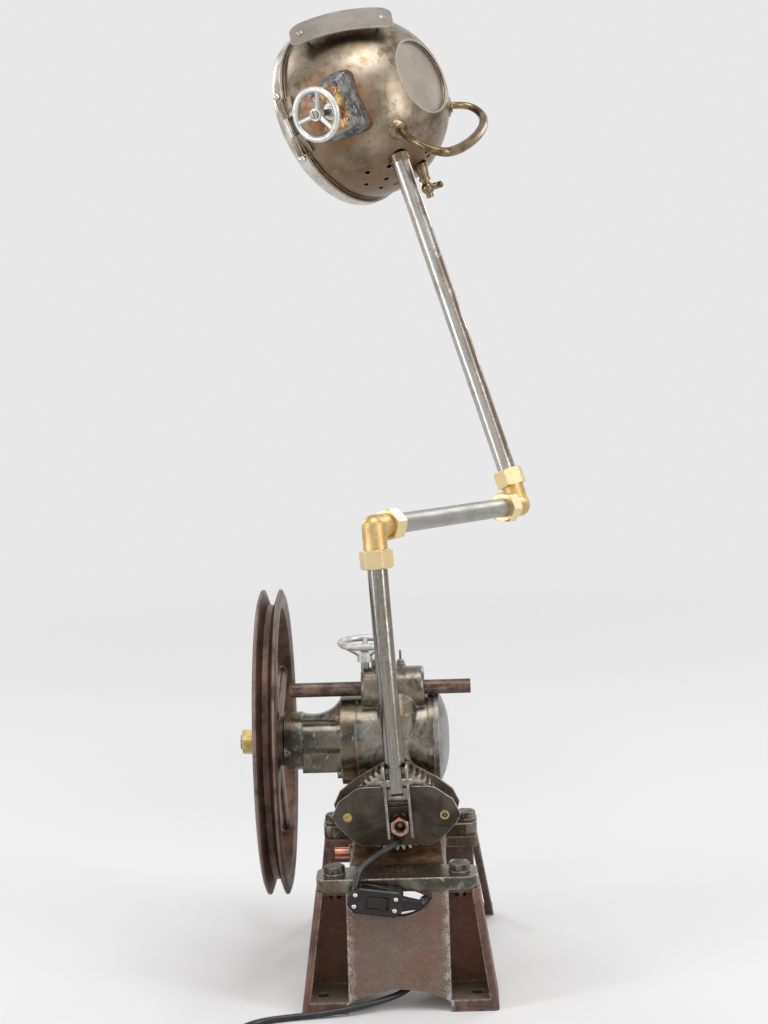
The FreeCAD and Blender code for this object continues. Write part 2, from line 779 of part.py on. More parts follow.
boss_solid = cylinder(boss_radius, Vector(boss_left - 5, rod_y, rod_z), X, boss_right - boss_left + 10)


def clamp_spindle():
    low = rod_z + rod_radius + joint_gap
    return cylinder(clamp_spindle_radius, Vector(clamp_x, rod_y, low), Z,
                    clamp_hub_z + clamp_hub_length + 1.5 - low)


def clamp_handwheel():
    low = clamp_hub_z - clamp_wheel_z
    wheel = hand_wheel(clamp_wheel_radius, wheel_tube, clamp_hub_radius, low, low + clamp_hub_length,
                       clamp_spindle_radius + screw_play, low + clamp_hub_length - 3)
    return moved(wheel, Placement(Vector(clamp_x, rod_y, clamp_wheel_z), Rotation()))


def boss_fitting():
    start = Vector(fitting_x, rod_y + 8, rod_z + boss_radius - 4)
    body = hexagon(fitting_across, start, Z, fitting_top - start.z)
    nipple = cylinder(fitting_across * 0.28, Vector(start.x, start.y, fitting_top - 1), Z, 5)
    return body.fuse(nipple).cut(boss_solid)


def oiler():
    foot = rod_z + boss_radius - 9
    profile = [(0, foot), (6.5, foot)]
    ribs = 4
    step = (oiler_top - foot - 4) / ribs
    for i in range(ribs):
        level = foot + 4 + i * step
        radius = 6.5 - 0.7 * i
        profile += [(radius, level), (radius, level + step * 0.6), (radius - 1.4, level + step * 0.6)]
    profile += [(3.4, oiler_top), (1.3, oiler_top), (1.3, oiler_top + 11), (0, oiler_top + 11)]
    return moved(turned(profile), Placement(Vector(oiler_x, oiler_y, 0), Rotation())).cut(boss_solid)


save("cross_rod", cylinder(rod_radius, Vector(rod_left, rod_y, rod_z), X, rod_right - rod_left))
save("clamp_spindle", clamp_spindle())
save("clamp_handwheel", clamp_handwheel())
save("boss_fitting", boss_fitting())
save("oiler", oiler())
save("drain_stub", ring(stub_radius, stub_bore, Vector(stub_end, stub_y, stub_z), X,
                        -flange_waist_half + 8 - stub_end))


# Gear case: back plate against the pedestal, gear on its shaft, front plate, two tie tubes.

back_plate_front = pedestal_front - back_plate_thickness
tie_start = plate_front - tie_proud
tie_end = pedestal_front


def lower_outline():
    """Right half of the lower edge that both plates share, from the middle outwards."""
    return [(37, plate_bottom_z), (49, plate_bottom_z + 7), (65, plate_mid_z - 10)]


def plate(half_outline, y, thickness):
    points = [Vector(x, y, z) for x, z in half_outline]
    points += [Vector(-x, y, z) for x, z in reversed(half_outline)]
    solid = prism(points, Vector(0, thickness, 0))
    for side in (-1, 1):
        solid = solid.cut(cylinder(tie_radius + screw_play, Vector(side * tie_x, y - 1, tie_z), Y,
                                   thickness + 2))
    return solid


def front_plate():
    outline = lower_outline() + [(plate_half, plate_mid_z), (62, plate_mid_z + 16.5), (43, plate_top_z - 2),
                                 (36, plate_top_z)]
    solid = plate(outline, plate_front, plate_thickness)
    notch = block(pivot.x - notch_half, pivot.x + notch_half, plate_front - 1, plate_front + 5, notch_floor,
                  plate_top_z + 1)
    stud = clevis_frame.multVec(Vector(0, 0, -nut_drop))
    return solid.cut(notch).cut(
        cylinder(stud_radius + screw_play, Vector(stud.x, plate_front - 1, stud.z), Y, 5)).cut(
        cylinder(bush_radius - 1 + screw_play, Vector(bush_x, plate_front - 1, bush_z), Y, 5))


def gear_back_plate():
    outline = lower_outline() + [(plate_half - 1, plate_mid_z + 4.5), (62, plate_mid_z + 19),
                                 (44, back_plate_top - 17), (14, back_plate_top)]
    solid = plate(outline, back_plate_front, back_plate_thickness)
    return solid.cut(cylinder(gear_shaft_radius + running_fit, Vector(0, back_plate_front - 1, gear_z), Y,
                              back_plate_thickness + 2))


def drive_gear():
    points = []
    for i in range(gear_teeth):
        for share, radius in ((-0.32, gear_root), (-0.17, gear_tip), (0.17, gear_tip), (0.32, gear_root)):
            angle = 2 * pi * (i + share) / gear_teeth + pi / 2
            points.append(Vector(radius * cos(angle), gear_front, gear_z + radius * sin(angle)))
    gear = prism(points, Vector(0, gear_back - gear_front, 0))
    return gear.cut(cylinder(gear_shaft_radius + screw_play, Vector(0, gear_front - 1, gear_z), Y,
                             gear_back - gear_front + 2))


def tie_tube(side):
    return ring(tie_radius, tie_bore, Vector(side * tie_x, tie_start, tie_z), Y, tie_end - tie_start)


def tie_screw():
    head = cylinder(tie_radius, Vector(-tie_x, tie_start - 2.2, tie_z), Y, 2.2)
    slot = block(-tie_x - 6, -tie_x + 6, tie_start - 3, tie_start - 1, tie_z - 0.6, tie_z + 0.6)
    shank = cylinder(tie_bore - screw_play, Vector(-tie_x, tie_start - 1, tie_z), Y,
                     tie_end - tie_start + 1)
    return head.cut(slot).fuse(shank)


# The clevis stands on the front plate and leans a little to the left. Its own frame has its
# origin in the pin, X along the pin and Z up between the cheeks.

lean = radians(clevis_lean)
clevis_up = Vector(-sin(lean), 0, cos(lean))
clevis_frame = frame_of(pivot, Vector(cos(lean), 0, sin(lean)), clevis_up)
clevis_back = plate_front - pivot.y
web_face = clevis_back - web_thickness


def mast_clevis():
    outer = cheek_inner_half + cheek_thickness
    web = block(-outer, outer, web_face, clevis_back, clevis_bottom, web_top)
    pieces = []
    for side in (-1, 1):
        x0, x1 = sorted((side * cheek_inner_half, side * outer))
        cheek = block(x0, x1, -cheek_reach, clevis_back, clevis_bottom, cheek_top)
        corners = [e for e in cheek.Edges if abs(e.Vertexes[0].X - e.Vertexes[-1].X) > 1e-6
                   and e.Vertexes[0].Z > 0]
        pieces.append(cheek.makeFillet(8, corners))
    clevis = web.multiFuse(pieces)
    clevis = clevis.cut(cylinder(pin_radius + screw_play, Vector(-2 * outer, 0, 0), X, 4 * outer))
    clevis = clevis.cut(cylinder(stud_radius + screw_play, Vector(0, web_face - 1, -nut_drop), Y, 6))
    return moved(clevis, clevis_frame)


nut_face = web_face - lock_washer_thickness


def hollow_lock_nut():
    """Flare nut with its stud: a cone hollow in front, a round stud through web and plate."""
    body = hexagon(lock_nut_across, Vector(0, nut_face - lock_nut_length, -nut_drop), Y, lock_nut_length, 30)
    hollow = turned([(0, 0), (7.6, 0), (7.2, 2), (3.2, 9), (3.2, 14), (0, 14)])
    body = body.cut(moved(hollow, frame_of(Vector(0, nut_face - lock_nut_length, -nut_drop), X, Y)))
    stud = cylinder(stud_radius, Vector(0, nut_face - 1, -nut_drop), Y,
                    clevis_back + plate_thickness + 0.5 - nut_face + 1)
    return moved(body.fuse(stud), clevis_frame)


def lock_washer():
    return moved(ring(10.2, stud_radius + screw_play, Vector(0, nut_face, -nut_drop), Y,
                      lock_washer_thickness), clevis_frame)


def pivot_pin():
    outer = cheek_inner_half + cheek_thickness
    pin = cylinder(pin_radius, Vector(-outer - 1, 0, 0), X, 2 * outer + 2)
    for side in (-1, 1):
        pin = pin.fuse(cylinder(pin_head, Vector(side * outer, 0, 0), X * side, pin_head_height))
    return moved(pin, clevis_frame)


save("gear_back_plate", gear_back_plate())
save("drive_gear", drive_gear())
save("gear_shaft", cylinder(gear_shaft_radius, Vector(0, gear_shaft_front, gear_z), Y,
                            gear_shaft_back - gear_shaft_front))
save("front_plate", front_plate())
save("plate_ties", Part.makeCompound([tie_tube(-1), tie_tube(1), tie_screw()]))
save("mast_clevis", mast_clevis())
save("hollow_lock_nut", Part.makeCompound([hollow_lock_nut(), lock_washer()]))
save("pivot_pin", pivot_pin())


# Mast, elbows and pipes. Each elbow's own frame has its origin in the corner, Z along the pipe
# that comes in and X along the pipe that goes out.

tilt = radians(mast_lean)
mast_direction = Vector(-sin(lean) * cos(tilt), sin(tilt), cos(lean) * cos(tilt))
pin_direction = Vector(cos(lean), 0, sin(lean))
mast_side = mast_direction.cross(pin_direction)
turn = radians(arm_turn)
arm_direction = pin_direction * cos(turn) + mast_side * sin(turn)
swing = radians(upper_lean)
upper_direction = mast_direction * cos(swing) + mast_direction.cross(arm_direction) * sin(swing)
lower_corner = pivot + mast_direction * mast_length
upper_corner = lower_corner + arm_direction * arm_length
head_joint = upper_corner + upper_direction * upper_length
mast_frame = frame_of(pivot, pin_direction, mast_direction)
lower_frame = frame_of(lower_corner, arm_direction, mast_direction)
upper_frame = frame_of(upper_corner, upper_direction, arm_direction)


def mast_foot():
    """Tongue between the cheeks, a shoulder under the pipe and a spigot inside it."""
    tongue = block(-tongue_half, tongue_half, -tongue_depth, tongue_depth, -tongue_drop, tongue_top)
    bottom = [e for e in tongue.Edges if abs(e.Vertexes[0].X - e.Vertexes[-1].X) > 1e-6
              and e.Vertexes[0].Z < 0]
    tongue = tongue.makeFillet(tongue_depth - 1, bottom)
    shoulder = cylinder(pipe_radius - 0.3, Vector(0, 0, tongue_top), Z, pipe_foot - tongue_top)
    spigot = cylinder(pipe_bore - screw_play, Vector(0, 0, pipe_foot), Z, spigot_length)
    foot = tongue.fuse(shoulder).fuse(spigot)
    return moved(foot.cut(cylinder(pin_radius + running_fit, Vector(-20, 0, 0), X, 40)), mast_frame)


def pivot_washer(side):
    start = Vector(side * tongue_half, 0, 0)
    return moved(ring(6, pin_radius + running_fit, start, X * side,
                      cheek_inner_half - joint_gap - tongue_half), mast_frame)


def pipe(start, end):
    run = end - start
    return ring(pipe_radius, pipe_bore, start, run, run.Length)


def elbow_body(frame):
    body = Part.makeSphere(elbow_radius)
    bore = Part.makeSphere(pipe_bore)
    for axis in (Z * -1, X):
        body = body.fuse(cylinder(elbow_radius, Vector(0, 0, 0), axis, elbow_leg))
        bore = bore.fuse(cylinder(pipe_bore, Vector(0, 0, 0), axis, elbow_leg + 1))
        bore = bore.fuse(cylinder(pipe_radius + running_fit, axis * (pipe_stop - 1), axis, elbow_leg))
    return moved(body.cut(bore), frame)


def compression_nut(frame, axis, turn_angle):
    """Hexagon nut over the elbow's leg, with a pocket for the olive."""
    nut = hexagon(pipe_nut_across, axis * nut_start, axis, nut_end - nut_start, turn_angle)
    pocket = cylinder(elbow_radius + screw_play, axis * (nut_start - 1), axis,
                      olive_seat + olive_length + joint_gap - nut_start + 1)
    nut = nut.cut(pocket).cut(cylinder(pipe_radius + running_fit, axis * nut_start, axis, 40))
    return moved(nut, frame)


def olive(frame, axis):
    profile = [(pipe_radius, 0), (olive_radius - 0.9, 0), (olive_radius, olive_length / 2.0),
               (olive_radius - 0.9, olive_length), (pipe_radius, olive_length)]
    return moved(moved(turned(profile), Placement(axis * olive_seat, Rotation(Z, axis))), frame)


shell_overrun = 16.0        # how far the upper pipe goes on past the head's collar
save("mast_foot", mast_foot())
save("pivot_washers", Part.makeCompound([pivot_washer(-1), pivot_washer(1)]))
save("mast_tube", Part.makeCompound([
    pipe(pivot + mast_direction * pipe_foot, lower_corner - mast_direction * pipe_stop),
    olive(lower_frame, Z * -1)]))
save("lower_elbow", elbow_body(lower_frame))
save("lower_elbow_nuts", Part.makeCompound([compression_nut(lower_frame, Z * -1, 10),
                                            compression_nut(lower_frame, X, 20)]))
save("middle_tube", Part.makeCompound([
    pipe(lower_corner + arm_direction * pipe_stop, upper_corner - arm_direction * pipe_stop),
    olive(lower_frame, X), olive(upper_frame, Z * -1)]))
save("upper_elbow", elbow_body(upper_frame))
save("upper_elbow_nuts", Part.makeCompound([compression_nut(upper_frame, Z * -1, 5),
                                            compression_nut(upper_frame, X, 14)]))
save("upper_tube", Part.makeCompound([
    pipe(upper_corner + upper_direction * pipe_stop, head_joint + upper_direction * shell_overrun),
    olive(upper_frame, X)]))


# Lamp head. Local frame: origin in the middle of the round shell, Z out of the mouth.

azimuth = radians(head_azimuth)
fall = radians(head_depression)
roll = radians(head_roll)
mouth = Vector(-sin(azimuth) * cos(fall), cos(azimuth) * cos(fall), -sin(fall))
level_side = Vector(-cos(azimuth), -sin(azimuth), 0)
rise_side = mouth.cross(level_side)
head_x = level_side * cos(roll) - rise_side * sin(roll)
head_turn = frame_of(Vector(0, 0, 0), head_x, mouth)
head_centre = head_joint - head_turn.multVec(head_pipe_end)
head_frame = frame_of(head_centre, head_x, mouth)
head_inverse = head_frame.inverse()
ball = Part.makeSphere(shell_radius)
tube_at = head_inverse.multVec(head_joint)
tube_axis = head_inverse.Rotation.multVec(upper_direction)
print("middle of the lamp head at", head_centre)


def head_piece(shape):
    return moved(shape, head_frame)


def globe_shell():
    inner = shell_radius - shell_wall
    rim = sqrt(shell_radius ** 2 - shell_back ** 2)
    mouth_out = sqrt(shell_radius ** 2 - shell_front ** 2)
    mouth_in = sqrt(inner ** 2 - shell_front ** 2)
    disc = shell_back + back_recess
    disc_in = disc + shell_wall
    disc_edge = sqrt(inner ** 2 - disc_in ** 2)
    profile = [(0, disc), (rim - back_rim, disc), (rim - back_rim, shell_back), (rim, shell_back),
               (mouth_out, shell_front, shell_radius * cos(-0.35), shell_radius * sin(-0.35)),
               (lip_radius, shell_front), (lip_radius, shell_front + lip_thickness),
               (mouth_in - 1, shell_front + lip_thickness), (mouth_in - 1, shell_front + 0.2),
               (mouth_in, shell_front),
               (disc_edge, disc_in, inner * cos(-0.35), inner * sin(-0.35)), (0, disc_in)]
    shell = turned(profile)
    tools = [cylinder(pipe_radius + screw_play, tube_at - tube_axis * 20, tube_axis, 60)]
    for hole in vent_points:
        start = Vector(*hole)
        start.normalize()
        tools.append(cylinder(vent_radius, start * (shell_radius - 12), start, 24))
    return shell.cut(Part.makeCompound(tools))


# Vent holes lie on two rings round the pipe.
vent_points = [(55, -88, -45), (59, -96, -6), (39, -106, -11), (46, -99, -28), (25, -108, -24),
               (7, -87, -72), (-2, -92, -66), (70, -84, -22), (15, -104, -40)]


def tube_collar():
    outer = pipe_radius + collar_wall
    body = ring(outer, pipe_radius + screw_play, tube_at + tube_axis * (16 - collar_length_out), tube_axis,
                collar_length_out)
    return body.cut(ball)


bezel_low = shell_front + lip_thickness + joint_gap
bezel_high = bezel_low + bezel_depth


def bezel_arc(offset):
    """Inner and outer rounding share one centre; returns centre radius, centre height and radius."""
    return lip_radius - bezel_round, bezel_high - bezel_round, bezel_round - offset


def bezel_ring():
    rc, zc, outer = bezel_arc(0)
    inner = bezel_arc(bezel_wall)[2]
    profile = [(lip_radius, bezel_low), (lip_radius, zc),
               (rc, bezel_high, rc + outer * cos(pi / 4), zc + outer * sin(pi / 4)),
               (mouth_radius, bezel_high), (mouth_radius, bezel_high - bezel_wall),
               (rc, bezel_high - bezel_wall),
               (lip_radius - bezel_wall, zc, rc + inner * cos(pi / 4), zc + inner * sin(pi / 4)),
               (lip_radius - bezel_wall, bezel_low)]
    return turned(profile)


def lens_clip_ring():
    """Spring ring that holds the glass; its outer edge follows the inside of the bezel."""
    rc, zc, inner = bezel_arc(bezel_wall + running_fit)
    top = bezel_high - bezel_wall - glass_thickness
    low = top - clip_depth
    edge_top = rc + sqrt(inner ** 2 - (top - zc) ** 2)
    edge_low = rc + sqrt(inner ** 2 - (low - zc) ** 2)
    half = asin((top + low - 2 * zc) / 2.0 / inner)
    return turned([(mouth_radius + 1, low), (edge_low, low),
                   (edge_top, top, rc + inner * cos(half), zc + inner * sin(half)), (mouth_radius + 1, top)])


def lens_glass():
    top = bezel_high - bezel_wall
    return cylinder(glass_radius, Vector(0, 0, top - glass_thickness), Z, glass_thickness)


def lamp_holder():
    start = shell_back + back_recess + shell_wall
    body = cylinder(holder_radius, Vector(0, 0, start), Z, holder_length)
    return body.cut(cylinder(bulb_neck - 1 + screw_play, Vector(0, 0, start + 16), Z, holder_length))


def bulb():
    """Thin blown bulb, open at the foot of its neck inside the holder."""
    base = shell_back + back_recess + shell_wall
    foot = base + 20
    top = base + holder_length
    neck = bulb_neck - 1
    low = bulb_centre - bulb_radius * 0.5
    wide = bulb_radius * cos(radians(30))
    inner = bulb_radius - bulb_wall
    inner_low = bulb_centre - inner * 0.5
    inner_wide = inner * cos(radians(30))
    return turned([(neck - bulb_wall, foot), (neck, foot), (neck, top), (wide, low),
                   (0, bulb_centre + bulb_radius, bulb_radius * cos(0.4), bulb_centre + bulb_radius * sin(0.4)),
                   (0, bulb_centre + inner), (inner_wide, inner_low, inner * cos(0.4),
                                              bulb_centre + inner * sin(0.4)),
                   (neck - bulb_wall, top)])


save("globe_shell", head_piece(globe_shell()))
save("tube_collar", head_piece(tube_collar()))
save("bezel_ring", head_piece(bezel_ring()))
save("lens_clip_ring", head_piece(lens_clip_ring()))
save("lens_glass", head_piece(lens_glass()))
save("lamp_holder", head_piece(lamp_holder()))
save("bulb", head_piece(bulb()))


# Hinge between shell and bezel: outer knuckles on the shell, the middle one on the bezel.

def leaf(y0, y1, z0, z1, seat):
    """Curved leaf that lies on the round outside, cut to the width of its knuckle."""
    sheet = cylinder(lip_radius + leaf_thickness, Vector(0, 0, z0), Z, z1 - z0)
    return sheet.cut(seat).common(block(0, 2 * lip_radius, y0, y1, z0, z1))


def hinge_strap(y0, y1, z0, z1):
    """Short bridge from the leaf to the barrel."""
    return block(lip_radius - 3, hinge_x, y0, y1, z0, z1)


def hinge_shell_leaf():
    leaves = []
    low = shell_front - 11
    pin_hole = cylinder(hinge_pin_radius + screw_play, Vector(hinge_x, -60, hinge_z), Y, 120)
    keep_out = cylinder(lip_radius + joint_gap, Vector(0, 0, shell_front - 0.01), Z, 40)
    for y0, y1 in ((-hinge_half, -hinge_knuckle), (hinge_knuckle, hinge_half)):
        piece = leaf(y0, y1, low, shell_front, ball)
        strap = hinge_strap(y0, y1, shell_front - 2, hinge_z).cut(ball)
        piece = piece.fuse(strap).fuse(cylinder(hinge_barrel, Vector(hinge_x, y0, hinge_z), Y, y1 - y0))
        leaves.append(piece.cut(keep_out).cut(pin_hole))
    return Part.makeCompound(leaves)


def hinge_bezel_leaf():
    half = hinge_knuckle - joint_gap
    inside = cylinder(lip_radius, Vector(0, 0, bezel_low - 5), Z, 40)
    piece = leaf(-half, half, bezel_low, bezel_low + 6, inside)
    strap = hinge_strap(-half, half, hinge_z, bezel_low + 3)
    barrel = cylinder(hinge_barrel, Vector(hinge_x, -half, hinge_z), Y, 2 * half)
    lip_clear = cylinder(lip_radius + joint_gap, Vector(0, 0, 0), Z, bezel_low)
    piece = piece.fuse(strap).fuse(barrel).cut(lip_clear).cut(inside)
    return piece.cut(cylinder(hinge_pin_radius + running_fit, Vector(hinge_x, -60, hinge_z), Y, 120))


def hinge_pin():
    end = hinge_half + hinge_ball - 0.4
    pin = cylinder(hinge_pin_radius, Vector(hinge_x, -end, hinge_z), Y, 2 * end)
    for side in (-1, 1):
        finial = Part.makeSphere(hinge_ball, Vector(hinge_x, side * end, hinge_z))
        pin = pin.fuse(finial.cut(block(hinge_x - 9, hinge_x + 9, -hinge_half, hinge_half,
                                        hinge_z - 9, hinge_z + 9)))
    return pin


save("hinge_shell_leaf", head_piece(hinge_shell_leaf()))
save("hinge_bezel_leaf", head_piece(hinge_bezel_leaf()))
save("hinge_pin", head_piece(hinge_pin()))


# Square bevelled box on the side of the shell, with its gland, spindle and handwheel.

def rounded_outline(x, step):
    """Outline of the box at a height x, smaller than its foot by a step all round."""
    length = box_length_half - step
    width = box_width_half - step
    corner = max(box_corner - step, 3.0)
    edges = []
    for turn_count, (a, b) in enumerate(((1, 1), (-1, 1), (-1, -1), (1, -1))):
        centre = Vector(x, box_y + a * (length - corner), box_z + b * (width - corner))
        places = [centre + Vector(0, corner * cos(angle), corner * sin(angle))
                  for angle in (radians(90 * turn_count), radians(90 * turn_count + 45), radians(90 * turn_count + 90))]
        if edges:
            edges.append(Part.LineSegment(edges[-1].Vertexes[-1].Point, places[0]).toShape())
        edges.append(Part.Arc(*places).toShape())
    edges.append(Part.LineSegment(edges[-1].Vertexes[-1].Point, edges[0].Vertexes[0].Point).toShape())
    return Part.Wire(edges)


def box_loft(sections):
    return Part.makeLoft([rounded_outline(x, step) for x, step in sections], True, True)


def box_screw_places():
    return [(box_y + a * box_screw_length, box_z + b * box_screw_width)
            for a in (-1, 1) for b in (-1, 1)]


def switch_box():
    outer = box_loft([(60, 0.0), (box_shoulder_x, box_shoulder_step), (box_top_x, box_top_step)])
    hollow = box_loft([(50, box_wall), (box_shoulder_x, box_shoulder_step + box_wall),
                       (box_top_x - box_wall, box_top_step + box_wall)])
    recess = box_loft([(box_top_x - box_recess, box_top_step + box_rim), (box_top_x + 1, box_top_step + box_rim)])
    box = outer.cut(hollow).cut(recess).cut(ball)
    box = box.cut(cylinder(spindle_radius + running_fit, Vector(90, head_wheel_y, head_wheel_z), X, 60))
    for y, z in box_screw_places():
        box = box.cut(cylinder(1.5 + screw_play, Vector(box_top_x - 9, y, z), X, 20))
    return box


def box_screw(y, z):
    face = box_top_x - box_recess
    head = cylinder(3.4, Vector(face, y, z), X, 2.0)
    slot = block(face + 1.2, face + 3, y - 4, y + 4, z - 0.5, z + 0.5)
    return head.cut(slot).fuse(cylinder(1.5, Vector(face - 6, y, z), X, 7)).cut(ball)


def spindle_gland():
    face = box_top_x - box_recess
    start = Vector(face, head_wheel_y, head_wheel_z)
    body = cylinder(gland_radius, start, X, 4)
    body = body.fuse(Part.makeCone(gland_radius * 0.8, gland_radius * 0.62, gland_length, start, X))
    bore = cylinder(spindle_radius + running_fit, Vector(90, head_wheel_y, head_wheel_z), X, 60)
    return body.cut(bore).cut(ball)


def head_spindle():
    near_edge = abs(head_wheel_z) - spindle_radius
    shell_at_edge = sqrt(shell_radius ** 2 - near_edge ** 2)
    start = Vector(shell_at_edge + running_fit, head_wheel_y, head_wheel_z)
    stem = cylinder(spindle_radius, start, X, head_wheel_x + 3 - start.x)
    screw = cylinder(5.2, Vector(head_wheel_x + 3, head_wheel_y, head_wheel_z), X, 2.6)
    slot = block(head_wheel_x + 4.2, head_wheel_x + 8, head_wheel_y - 6, head_wheel_y + 6,
                 head_wheel_z - 0.6, head_wheel_z + 0.6)
    return stem.fuse(screw.cut(slot))


def head_handwheel():
    wheel = hand_wheel(head_wheel_radius, wheel_tube, 7.5, -6, 3, spindle_radius + screw_play, -2)
    return moved(wheel, frame_of(Vector(head_wheel_x, head_wheel_y, head_wheel_z), Y, X))


save("switch_box", head_piece(switch_box()))
save("box_screws", head_piece(Part.makeCompound([box_screw(y, z) for y, z in box_screw_places()])))
save("spindle_gland", head_piece(spindle_gland()))
save("head_spindle", head_piece(head_spindle()))
save("head_handwheel", head_piece(head_handwheel()))


# Bent strip over the head on two spacers.

phi = radians(strip_angle)
beta = radians(strip_tilt)
delta = radians(strip_skew)
strip_radial = Vector(cos(phi), sin(phi), 0)
strip_tangent = Vector(-sin(phi), cos(phi), 0)
strip_normal = strip_radial * cos(beta) + Z * sin(beta)
strip_run0 = Z * cos(beta) - strip_radial * sin(beta)
strip_run = strip_run0 * cos(delta) + strip_tangent * sin(delta)
strip_across = strip_normal.cross(strip_run)


def strip_point(s, height):
    """Point on the strip's middle line at length s, raised by height."""
    a = s / strip_bend
    return strip_normal * (strip_height - strip_bend) + (
        strip_normal * cos(a) + strip_run * sin(a)) * (strip_bend + height)


def top_strip():
    ends = []
    for height in (0, strip_thickness):
        ends.append(Part.Arc(strip_point(strip_back, height), strip_point(7, height),
                             strip_point(strip_front, height)).toShape())
    caps = [Part.LineSegment(strip_point(s, 0), strip_point(s, strip_thickness)).toShape()
            for s in (strip_back, strip_front)]
    face = Part.Face(Part.Wire([ends[0], caps[1], ends[1], caps[0]]))
    face.translate(strip_across * (-strip_width / 2.0))
    solid = face.extrude(strip_across * strip_width)
    corners = [e for e in solid.Edges if abs(e.Length - strip_thickness) < 0.01]
    solid = solid.makeFillet(14, corners)
    for s in (strip_rivet_front, strip_rivet_back):
        base = strip_point(s, -10)
        solid = solid.cut(cylinder(3 + screw_play, base, strip_point(s, 10) - base, 30))
    return solid


def strip_rivet(s):
    top = strip_point(s, 0)
    out = strip_point(s, 1) - top
    spacer = cylinder(5, top - out * 40, out, 40)
    rivet = cylinder(3, top - out * 1, out, strip_thickness + 2)
    head = Part.makeSphere(5.4, top + out * (strip_thickness - 2.4))
    frame = Placement(top + out * strip_thickness, Rotation(Z, out))
    head = head.common(moved(cylinder(8, Vector(0, 0, 0), Z, 10), frame))
    return spacer.fuse(rivet).fuse(head).cut(ball)


save("top_strip", head_piece(top_strip()))
save("strip_rivets", head_piece(Part.makeCompound([strip_rivet(s) for s in
                                                   (strip_rivet_front, strip_rivet_back)])))


# Bow handle at the back, with a rosette at each end, and the small tap.

def route(points, share):
    """Straight runs joined by tangent arcs; returns the wire, its length and the arcs' radii."""
    edges = []
    radii = []
    last = points[0]
    for i in range(1, len(points) - 1):
        before = points[i - 1] - points[i]
        after = points[i + 1] - points[i]
        tangent = share * min(before.Length, after.Length)
        before.normalize()
        after.normalize()
        half_turn = (pi - before.getAngle(after)) / 2.0
        radius = tangent / tan(half_turn)
        start = points[i] + before * tangent
        end = points[i] + after * tangent
        middle = before + after
        middle.normalize()
        apex = points[i] + middle * (radius / cos(half_turn) - radius)
        edges.append(Part.LineSegment(last, start).toShape())
        edges.append(Part.Arc(start, apex, end).toShape())
        radii.append(radius)
        last = end
    edges.append(Part.LineSegment(last, points[-1]).toShape())
    wire = Part.Wire(edges)
    return wire, wire.Length, radii


def tube_along(wire, radius):
    """Round bar swept along a wire."""
    start = wire.Edges[0].valueAt(wire.Edges[0].FirstParameter)
    direction = wire.Edges[0].tangentAt(wire.Edges[0].FirstParameter)
    shell = Part.BRepOffsetAPI.MakePipeShell(wire)
    shell.add(Part.Wire(Part.makeCircle(radius, start, direction)))
    shell.build()
    shell.makeSolid()
    return shell.shape()


handle_start = Vector(59, -53, -81)
handle_end = Vector(-60, -42, -90)
handle_points = [handle_start, Vector(57, -92, -117), Vector(-56, -74, -125), handle_end]
handle_sunk = 7.0            # how far the ends of the bow reach into the shell


def outward(point):
    direction = Vector(point)
    direction.normalize()
    return direction


handle_inner_start = handle_start - outward(handle_start) * handle_sunk
handle_inner_end = handle_end - outward(handle_end) * handle_sunk
handle_route = [handle_inner_start] + handle_points[1:3] + [handle_inner_end]
handle_tube = tube_along(route(handle_route, cord_share)[0], handle_radius)


def bow_handle():
    return handle_tube.cut(ball)


def handle_rosette(point):
    direction = outward(point)
    seat = direction * (shell_radius - 2)
    disc = cylinder(rosette_radius, seat, direction, rosette_thickness + 2)
    return disc.cut(ball).cut(handle_tube)


tap_root = Vector(3, -99, -54)
tap_axis = Vector(-0.05, -0.985, 0.138)
tap_axis.normalize()
tap_side = Vector(-0.545, -0.381, -0.747)
tap_side = tap_side - tap_axis * tap_side.dot(tap_axis)
tap_side.normalize()
tap_bar = tap_axis.cross(tap_side)


def tap_body():
    """Cone boss on the shell, a collar and a round body with a side stem."""
    cone = Part.makeCone(9, 6, 18, tap_root - tap_axis * 3, tap_axis)
    collar = cylinder(7.5, tap_root + tap_axis * 15, tap_axis, 4)
    body = Part.makeSphere(tap_radius, tap_root + tap_axis * 28.6)
    stem = cylinder(4.2, tap_root + tap_axis * 28.6, tap_side, 12)
    nose = cylinder(4.8, tap_root + tap_axis * 28.6, tap_axis, 12)
    solid = cone.multiFuse([collar, cylinder(5, tap_root, tap_axis, 28), body, stem, nose]).cut(ball)
    return solid.cut(cylinder(2 + running_fit, tap_root + tap_axis * 28.6 + tap_side * 3, tap_side, 20))


def tap_handle():
    """Stem in the body's side and a cross bar with two ball ends."""
    centre = tap_root + tap_axis * 28.6
    middle = centre + tap_side * 16
    handle = cylinder(2, centre + tap_side * 4, tap_side, 12)
    handle = handle.fuse(cylinder(4, centre + tap_side * (12 + joint_gap), tap_side, 6))
    handle = handle.fuse(cylinder(2, middle - tap_bar * 13, tap_bar, 26))
    for side in (-1, 1):
        handle = handle.fuse(Part.makeSphere(3.6, middle + tap_bar * (13 * side)))
    return handle


save("bow_handle", head_piece(Part.makeCompound([bow_handle(), handle_rosette(handle_start),
                                                 handle_rosette(handle_end)])))
save("tap_body", head_piece(tap_body()))
save("tap_handle", head_piece(tap_handle()))


# Mains lead: bush in the front plate, upper stretch, in-line rocker switch, lower stretch through
# the stand's window and out under its arch, a coil, and a plug.

droop = radians(switch_droop)
switch_x = Vector(cos(droop), 0, -sin(droop))
switch_z = Vector(sin(droop), 0, cos(droop))
switch_frame = frame_of(switch_centre, switch_x, switch_z)
lead_depth = 5.0            # how far the lead reaches into the switch
switch_in = Vector(-24.0, 0, 9.3) + Vector(0.3, 0, -0.95) * lead_depth
switch_out = Vector(switch_half_length - lead_depth, 0, -1.0)


def in_switch(point):
    return switch_frame.multVec(point)


